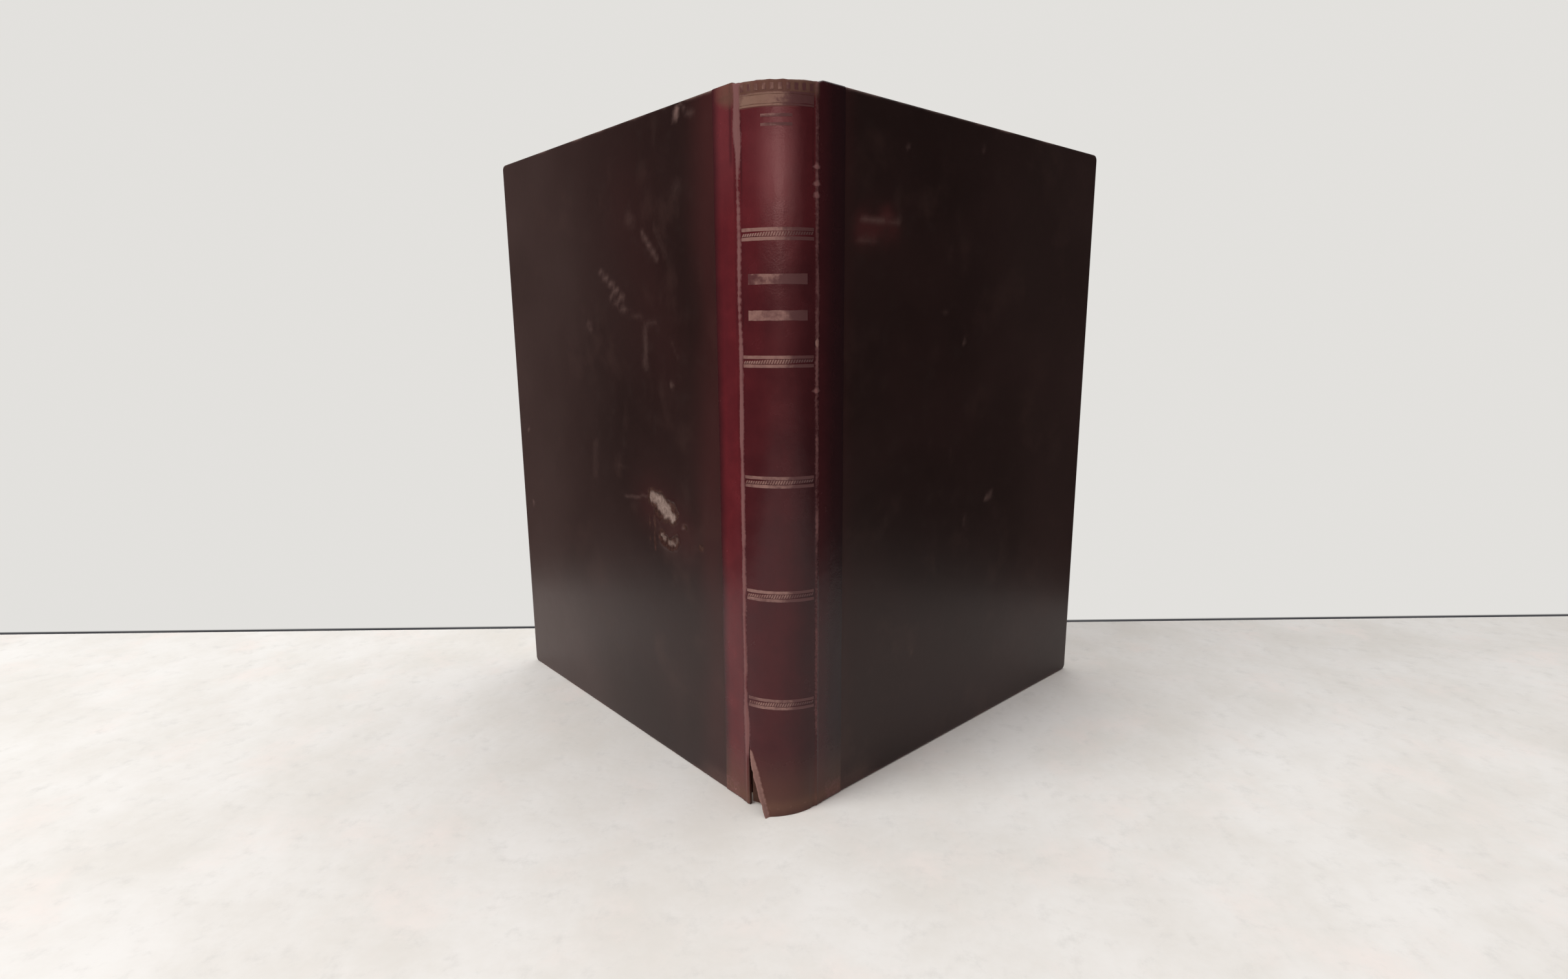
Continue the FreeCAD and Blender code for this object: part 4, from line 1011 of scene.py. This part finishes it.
BLOCK_HALF = 8.31 * MM
SHOULDER_TIP = BLOCK_HIGH.x
BLOCK_RADIUS = SPINE_RADIUS - HALF - INLAY - PARED - HOLLOW - SPINE_LINING - GLUE


def across_block(t, y):
    """How far from the middle a leaf lies at depth y: its share t of the half thickness,
    widened over the shoulder."""
    widen = np.clip((JOINT_Y + SHOULDER - y) / SHOULDER_SLOPE, 0, 1)
    return t * (BLOCK_HALF + (SHOULDER_TIP - BLOCK_HALF) * widen)


def text_block(leaf_groups=110):
    """All the pages: groups of leaves side by side, each a loop over head, fore edge, tail
    and back, each cut a hair higher or deeper than its neighbour."""
    draw = np.random.default_rng(5)
    bounds = np.sort(np.concatenate([[-1, 1], np.linspace(-1, 1, leaf_groups + 1)[1:-1]
                                     + draw.uniform(-0.4, 0.4, leaf_groups - 1) * 2 / leaf_groups]))
    gap = 0.12 / leaf_groups
    t = np.stack([bounds[:-1] + gap, bounds[1:] - gap], axis=1).ravel()
    t[0], t[-1] = -1, 1
    lower = np.repeat(draw.uniform(0, 0.22, leaf_groups), 2) * MM
    deeper = np.repeat(draw.uniform(0, 0.35, leaf_groups), 2) * MM
    along = 0.5 - 0.5 * np.cos(np.linspace(0, math.pi, 25))
    up = np.linspace(0, 1, 13)
    deep, tall = len(along), len(up) - 2
    y_share = np.concatenate([along, np.ones(tall), along[::-1], np.zeros(tall)])
    z_share = np.concatenate([np.ones(deep), up[-2:0:-1], np.zeros(deep), up[1:-1]])

    def place(t, y_share, z_share, lower, deeper):
        back = SPINE_CENTRE_Y - np.sqrt(BLOCK_RADIUS ** 2 - (SHOULDER_TIP * t) ** 2)
        front = BLOCK_HIGH.y - FORE_EDGE_HOLLOW * (1 - t ** 2) - deeper
        y = back + (front - back) * y_share
        sag = 0.12 * MM * rough(t, y, 0.2, 40 * MM, 101)
        z = (BLOCK_LOW.z + 0.05 * MM + lower * 0.5
             + (BLOCK_HIGH.z - BLOCK_LOW.z - 0.25 * MM - lower + sag) * z_share)
        return np.stack([across_block(t, y), y, z], axis=-1)

    points = place(t[:, None], y_share[None], z_share[None], lower[:, None], deeper[:, None])
    columns, around = len(t), len(y_share)
    loop = np.arange(columns * around).reshape(columns, around)
    parts, faces = [points.reshape(-1, 3)], [grid_faces(columns, around, round_columns=True)]
    first = columns * around
    inner = (deep - 2) * tall
    for k in (0, -1):
        head, fore_edge, tail, back = np.split(loop[k], np.cumsum([deep, tall, deep]))
        grid = np.zeros((deep, tall + 2), int)
        grid[1:-1, 1:-1] = first + np.arange(inner).reshape(deep - 2, tall)
        grid[:, -1], grid[:, 0] = head, tail[::-1]
        grid[-1, 1:-1], grid[0, 1:-1] = fore_edge[::-1], back
        cap = place(t[k], *np.meshgrid(along[1:-1], up[1:-1], indexing="ij"), lower[k], deeper[k])
        parts.append(cap.reshape(-1, 3))
        i, j = np.meshgrid(np.arange(deep - 1), np.arange(tall + 1), indexing="ij")
        quads = np.stack([grid[i, j], grid[i, j + 1], grid[i + 1, j + 1], grid[i + 1, j]],
                         axis=-1).reshape(-1, 4)
        faces.append(quads if k == 0 else flip(quads))
        first += inner
    points = np.concatenate(parts)
    leaf = np.concatenate([np.repeat(t, around), np.full(inner, -1.0), np.full(inner, 1.0)])
    piece = build("text_block_leaves", points, faces, PAGE_EDGES, sharp=35.0,
                  leaf=leaf * leaf_groups)
    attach(piece, "block")
    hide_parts("text_block")


def edge_browning(a, b, a_high, b_high, width):
    """1 at a sheet's edges, falling off inwards with an uneven rim."""
    near = np.minimum.reduce([a, b, a_high - a, b_high - b])
    return ease(near, width, 0.0) * (0.8 + 0.5 * rough(a, b, 12 * MM, 12 * MM, 111))


def free_endpaper(side):
    """The loose leaf on the block's outside, cockled and a little short of the pages."""
    way = WAY[side]
    y = spaced((JOINT_Y + SHOULDER + 0.05 * MM, 0), (BLOCK_HIGH.y - 0.3 * MM, 3.0 * MM))
    z = spaced((BLOCK_LOW.z + 0.15 * MM, 0), (BLOCK_HIGH.z - 0.3 * MM, 3.0 * MM))
    y, z = np.meshgrid(y, z, indexing="ij")
    seed = 120 if side == "front" else 126
    lift = 0.5 + 0.5 * rough(y, z, 45 * MM, 60 * MM, seed)
    lift = 0.35 * MM * lift * ease(y, -70 * MM, 20 * MM)
    low_y = y.min()
    brown = edge_browning(y - low_y, z - z.min(), y.max() - low_y, z.max() - z.min(), 14 * MM)

    def layer(out):
        x = way * (BLOCK_HALF + 0.02 * MM + lift + out)
        return np.stack([x, y, z], axis=-1).reshape(-1, 3)

    points = np.concatenate([layer(0.18 * MM), layer(0.0)])
    faces = sheet_faces(*y.shape)
    if side == "rear":
        faces = [flip(block) for block in faces]
    piece = build(f"{side}_free_endpaper_cockled", points, faces, ENDPAPER,
                  rim=np.tile(brown.ravel(), 2))
    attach(piece, "block")
    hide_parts(f"{side}_free_endpaper")


def pastedown(side):
    """The paper on the board's inside. It shows the step of the turn-ins under it, and runs
    on as the fold that bridges the joint to the block's shoulder."""
    way = WAY[side]
    flat_u = spaced((4.2 * MM, 0), (8 * MM, 0.8 * MM), (170 * MM, 3.2 * MM),
                    (179.6 * MM, 0.8 * MM))
    z = spaced((4 * MM, 0), (12 * MM, 0.8 * MM), (242 * MM, 3.2 * MM), (250 * MM, 0.8 * MM))
    u, z_grid = np.meshgrid(flat_u, z, indexing="ij")
    inset = np.minimum.reduce([COVER_WIDTH - u, z_grid, COVER_TOP - z_grid])
    wave = 0.05 * MM * rough(u, z_grid, 30 * MM, 40 * MM, 131)
    board_face = -HALF - BOARD
    over_turn_in = (SKIN + 0.02 * MM) * ease(inset, TURN_IN + 1.2 * MM, TURN_IN - 0.2 * MM)
    flat_v = board_face - 0.03 * MM - over_turn_in - np.abs(wave)
    flat = on_cover(side, u, flat_v, z_grid)

    fold = np.array([(8.62, -82.75), (9.0, -83.35), (10.2, -84.1), (11.3, -85.0),
                     (11.75, -85.4), (12.28, -85.5)]) * [way, 1] * MM
    bends = [(0.5, -0.85), (1.6, -0.95), (2.7, -1.15), (3.2, -1.6), (3.3, -2.5), (3.32, -3.2),
             (3.6, -3.38)]
    on_board = np.array([on_cover(side, a * MM, b * MM, 0.0)[:2] for a, b in bends])
    path = np.concatenate([fold, on_board])
    rise = np.stack([np.broadcast_to(path[:, None, k], (len(path), len(z))) for k in (0, 1)]
                    + [np.broadcast_to(z, (len(path), len(z)))], axis=-1)
    middle = np.concatenate([rise, flat])
    step = np.gradient(middle[..., :2], axis=0)
    step = step / np.linalg.norm(step, axis=-1, keepdims=True)
    inward = way * np.stack([-step[..., 1], step[..., 0], 0 * step[..., 0]], axis=-1)
    points = np.concatenate([(middle + inward * 0.16 * MM).reshape(-1, 3), middle.reshape(-1, 3)])
    run = np.concatenate([np.zeros(len(path)), flat_u])
    reach, height = np.meshgrid(run, z, indexing="ij")
    brown = edge_browning(reach + 9 * MM, height - z[0], flat_u[-1] + 9 * MM, z[-1] - z[0],
                          13 * MM)
    brown = np.maximum(brown, 0.7 * hump(reach, 3 * MM, 3 * MM))
    # The rear fold below the tear, seen in its gap, gets rim up to 2: dirt and painted shade.
    if side == "rear":
        brown = np.maximum(brown, 2 * ease(height, 36 * MM, 26 * MM) * (reach == 0))
    faces = sheet_faces(*reach.shape)
    if side == "front":
        faces = [flip(block) for block in faces]
    piece = build(f"{side}_pastedown_and_fold", points, faces, ENDPAPER,
                  rim=np.tile(brown.ravel(), 2))
    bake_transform(piece)
    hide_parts(f"{side}_pastedown")


def endband(end):
    """Silk wound over a cord at the block's head or tail, one rib for each turn."""
    low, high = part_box(f"{end}_endband")
    radius = (high.z - low.z) / 2
    centre_z = (low.z + high.z) / 2
    centre_radius = BLOCK_RADIUS - 0.4 * MM - radius
    half_angle = math.radians(26)
    length = 2 * half_angle * centre_radius
    turns = round(length / (0.45 * MM))
    steps = turns * 6
    share = np.linspace(0, 1, steps + 1)
    rib = np.abs(np.sin(share * turns * math.pi))
    thin = np.sqrt(np.clip(1 - ((share - 0.5) / 0.5) ** 16, 0.0, 1.0))
    around = np.linspace(0, 2 * math.pi, 17)[:-1]
    size = (radius * (0.88 + 0.12 * rib) * np.maximum(thin, 0.02))[:, None]
    turn = ((share - 0.5) * 2 * half_angle)[:, None]
    out = centre_radius + size * np.cos(around)[None]
    points = np.stack([out * np.sin(turn), SPINE_CENTRE_Y - out * np.cos(turn),
                       centre_z + size * np.sin(around)[None]], axis=-1)
    rows, columns = len(share), len(around)
    ends = np.array([points[0].mean(axis=0), points[-1].mean(axis=0)])
    faces = [grid_faces(rows, columns, round_columns=True)]
    number = np.arange(columns)
    after = (number + 1) % columns
    last = (rows - 1) * columns
    tip = np.full(columns, rows * columns)
    faces.append(np.stack([number, after, tip], axis=1))
    faces.append(np.stack([last + after, last + number, tip + 1], axis=1))
    colour = np.floor(share * turns).astype(int) % 4 < 2
    thread = np.concatenate([np.repeat(colour.astype(float), columns), [0.0, 0.0]])
    piece = build(f"{end}_endband_wound", np.concatenate([points.reshape(-1, 3), ends]), faces,
                  SILK, thread=thread)
    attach(piece, "block")
    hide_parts(f"{end}_endband")


# Camera, light and floor.

FOCAL_LENGTH, PICTURE_WIDTH = 1264.0, 2422.0     # of the photograph, in its pixels
CAMERA_PLACE = (0.0169, -0.36555, 0.1771)
WALL_FOOT = [(-207.6, 88.3), (190.1, 116.0)]     # two points of it, in millimetres
FAR = 9000                                       # how far wall and floor run, in millimetres


def camera():
    """The photograph's viewpoint: place, pitch, yaw and roll, and its 36 mm wide view."""
    pitch, yaw, roll = math.radians(11.28), math.radians(-3.16), math.radians(-0.38)
    ahead = np.array([math.sin(yaw) * math.cos(pitch), math.cos(yaw) * math.cos(pitch),
                      -math.sin(pitch)])
    right = np.array([math.cos(yaw), -math.sin(yaw), 0.0])
    up = np.cross(right, ahead)
    across = math.cos(roll) * right + math.sin(roll) * up
    upright = -math.sin(roll) * right + math.cos(roll) * up
    data = bpy.data.cameras.new("view")
    data.sensor_width = 36.0
    data.lens = FOCAL_LENGTH / PICTURE_WIDTH * data.sensor_width
    data.clip_start, data.clip_end = 0.01, 50.0
    seen_from = bpy.data.objects.new("view", data)
    turn = np.stack([across, upright, -ahead], axis=1)
    seen_from.matrix_world = Matrix.Translation(CAMERA_PLACE) @ Matrix(turn.tolist()).to_4x4()
    bpy.context.scene.collection.objects.link(seen_from)
    bpy.context.scene.camera = seen_from


def lamp(name, place, aim, width, height, watts, colour=(1.0, 1.0, 1.0)):
    """A rectangular lamp at place that faces aim. Sizes in metres."""
    data = bpy.data.lights.new(name, "AREA")
    data.shape, data.size, data.size_y = "RECTANGLE", width, height
    data.energy, data.color = watts, colour
    light = bpy.data.objects.new(name, data)
    ahead = np.array(aim) - np.array(place)
    ahead = ahead / np.linalg.norm(ahead)
    right = np.cross(ahead, (0.0, 0.0, 1.0))
    right = right / np.linalg.norm(right)
    turn = np.stack([right, np.cross(right, ahead), -ahead], axis=1)
    light.matrix_world = Matrix.Translation(place) @ Matrix(turn.tolist()).to_4x4()
    bpy.context.scene.collection.objects.link(light)
    return light


def link_all(tree, *pairs):
    """Each output to its input."""
    for source, target in pairs:
        tree.links.new(source, target)


def pale_table():
    """A pale, stained table top. In front of the camera's place, where the lamps are close to it,
    its colour is darkened as painted shade against their light."""
    f = Finish("pale_table", 0.6, Specular_IOR_Level=0.3)
    clouds = f.span(f.noise(14.0, 6.0, 0.7), 0.3, 0.7)
    stains = f.span(f.noise(22.0, 5.0, 0.65, f.stretched(1.0, 1.0, 3.0)), 0.5, 0.75, 0.0, 0.7)
    grain = f.span(f.noise(110.0, 5.0, 0.7), 0.5, 0.8, 0.0, 0.6)
    base = f.blend(clouds, (0.70, 0.675, 0.625), (0.78, 0.765, 0.73))
    base = f.blend(stains, base, (0.80, 0.73, 0.68))
    base = f.blend(grain, base, (0.60, 0.585, 0.55))
    # Painted shade: the colour darkens towards the lamps, to hold back their light on the near table.
    near = f.span(f.apart()["Y"], -1.1, -0.35, 0.8, 0.0)
    f.colour(f.blend(near, base, (0.20, 0.19, 0.175)))
    return f.material


def wall_paint():
    """A pale tone over a dark line at the foot, and clear from behind."""
    paint = bpy.data.materials.new("pale_wall")
    paint.use_nodes = True
    tree = paint.node_tree
    tree.nodes.clear()
    place = tree.nodes.new("ShaderNodeTexCoord")
    apart = tree.nodes.new("ShaderNodeSeparateXYZ")
    foot = tree.nodes.new("ShaderNodeMapRange")
    foot.inputs["From Min"].default_value = 0.0010
    foot.inputs["From Max"].default_value = 0.0018
    tone = tree.nodes.new("ShaderNodeMix")
    tone.data_type = "RGBA"
    tone.inputs[6].default_value = (0.06, 0.06, 0.065, 1.0)
    tone.inputs[7].default_value = (0.765, 0.752, 0.727, 1.0)
    glow = tree.nodes.new("ShaderNodeEmission")
    clear = tree.nodes.new("ShaderNodeBsdfTransparent")
    facing = tree.nodes.new("ShaderNodeNewGeometry")
    either = tree.nodes.new("ShaderNodeMixShader")
    output = tree.nodes.new("ShaderNodeOutputMaterial")
    link_all(tree, (place.outputs["Object"], apart.inputs[0]),
             (apart.outputs["Z"], foot.inputs["Value"]),
             (foot.outputs["Result"], tone.inputs[0]),
             (tone.outputs[2], glow.inputs["Color"]),
             (facing.outputs["Backfacing"], either.inputs[0]),
             (glow.outputs[0], either.inputs[1]),
             (clear.outputs[0], either.inputs[2]),
             (either.outputs[0], output.inputs["Surface"]))
    return paint


def room():
    """The world: pale to the camera, dim in reflections, and a grey light for the rest."""
    world = bpy.data.worlds.new("room")
    bpy.context.scene.world = world
    world.use_nodes = True
    tree = world.node_tree

    def background(node, colour):
        node.inputs["Color"].default_value = (*colour, 1.0)
        return node.outputs[0]

    ray = tree.nodes.new("ShaderNodeLightPath")
    pale = background(tree.nodes["Background"], (0.78, 0.77, 0.75))
    grey = background(tree.nodes.new("ShaderNodeBackground"), (0.36, 0.36, 0.37))
    dim = background(tree.nodes.new("ShaderNodeBackground"), (0.030, 0.026, 0.025))
    lit = tree.nodes.new("ShaderNodeMixShader")
    seen = tree.nodes.new("ShaderNodeMixShader")
    link_all(tree, (ray.outputs["Is Glossy Ray"], lit.inputs[0]), (grey, lit.inputs[1]),
             (dim, lit.inputs[2]), (ray.outputs["Is Camera Ray"], seen.inputs[0]),
             (lit.outputs[0], seen.inputs[1]), (pale, seen.inputs[2]),
             (seen.outputs[0], tree.nodes["World Output"].inputs["Surface"]))


def lamps():
    """A window at the left that reflections don't show, three long warm lamps in front, one
    over the other, and the ceiling."""
    window = lamp("window_left", (-1.5, -0.9, 1.3), (0, 0, 0.1), 1.2, 1.2, 40.0)
    window.visible_glossy = False
    warm, spine = (1.0, 0.58, 0.54), (0, -0.09, 0.2)
    lamp("lamp_wide", (0.05, -2.02, 0.60), spine, 3.0, 0.14, 3.2, warm)
    lamp("lamp_middle", (0.05, -2.01, 0.58), spine, 1.8, 0.14, 2.8, warm)
    lamp("lamp_narrow", (0.0, -2.00, 0.56), spine, 0.45, 0.16, 2.0, warm)
    lamp("ceiling", (0.3, 0.4, 2.0), (0, 0, 0), 2.0, 2.0, 21.0)


def stage():
    """A table top as wide as the one in the photograph, and the wall behind it. Beyond the
    table top only the camera sees the floor, and only the camera sees the wall, from the
    front."""
    def flat(name, corners, material):
        return build(name, np.array(corners) * MM, [[[0, 1, 2, 3]]], material)

    top = pale_table()
    table = flat("table_top", [(-272, -1200, 0), (620, -1200, 0), (95, 600, 0), (-272, 600, 0)],
                 top)
    beyond = flat("table_beyond", [(-FAR, -FAR, -0.4), (FAR, -FAR, -0.4), (FAR, FAR, -0.4),
                                   (-FAR, FAR, -0.4)], top)
    (x0, y0), (x1, y1) = WALL_FOOT
    slope = (y1 - y0) / (x1 - x0)
    ends = [(x, y0 + slope * (x - x0)) for x in (-FAR, FAR)]
    wall = flat("pale_wall", [(*ends[0], 0), (*ends[1], 0), (*ends[1], FAR), (*ends[0], FAR)],
                wall_paint())
    for seen_by_camera in (beyond, wall):
        seen_by_camera.visible_diffuse = False
        seen_by_camera.visible_glossy = False
        seen_by_camera.visible_transmission = False
        seen_by_camera.visible_shadow = False
    room()
    lamps()
    bpy.context.scene.view_settings.view_transform = "Standard"


# What each carried-over piece of the frame is made of.

def dress_frame():
    """Each piece gets the finish of its own slot."""
    finishes = {"pages": PAGE_EDGES, "endpaper": ENDPAPER, "cord": CORD, "endband_silk": SILK,
                "lining_paper": LINING, "card": CARD, "red_leather": RED_LEATHER, "gilt": GILT,
                "pasteboard": PASTEBOARD, "dark_leather": DARK_SKIN}
    for part in frame["record"]["subparts"]:
        mesh = frame["nodes"][part["node"]].data
        mesh.materials.clear()
        mesh.materials.append(finishes[part["material_slot"]])


dress_frame()
text_block()
spine_leather()
gilt_tooling()
endband("head")
endband("tail")
for side in ("front", "rear"):
    free_endpaper(side)
    leather_strip(side)
    side_cover(side)
    pastedown(side)
camera()
stage()

bpy.context.view_layer.update()
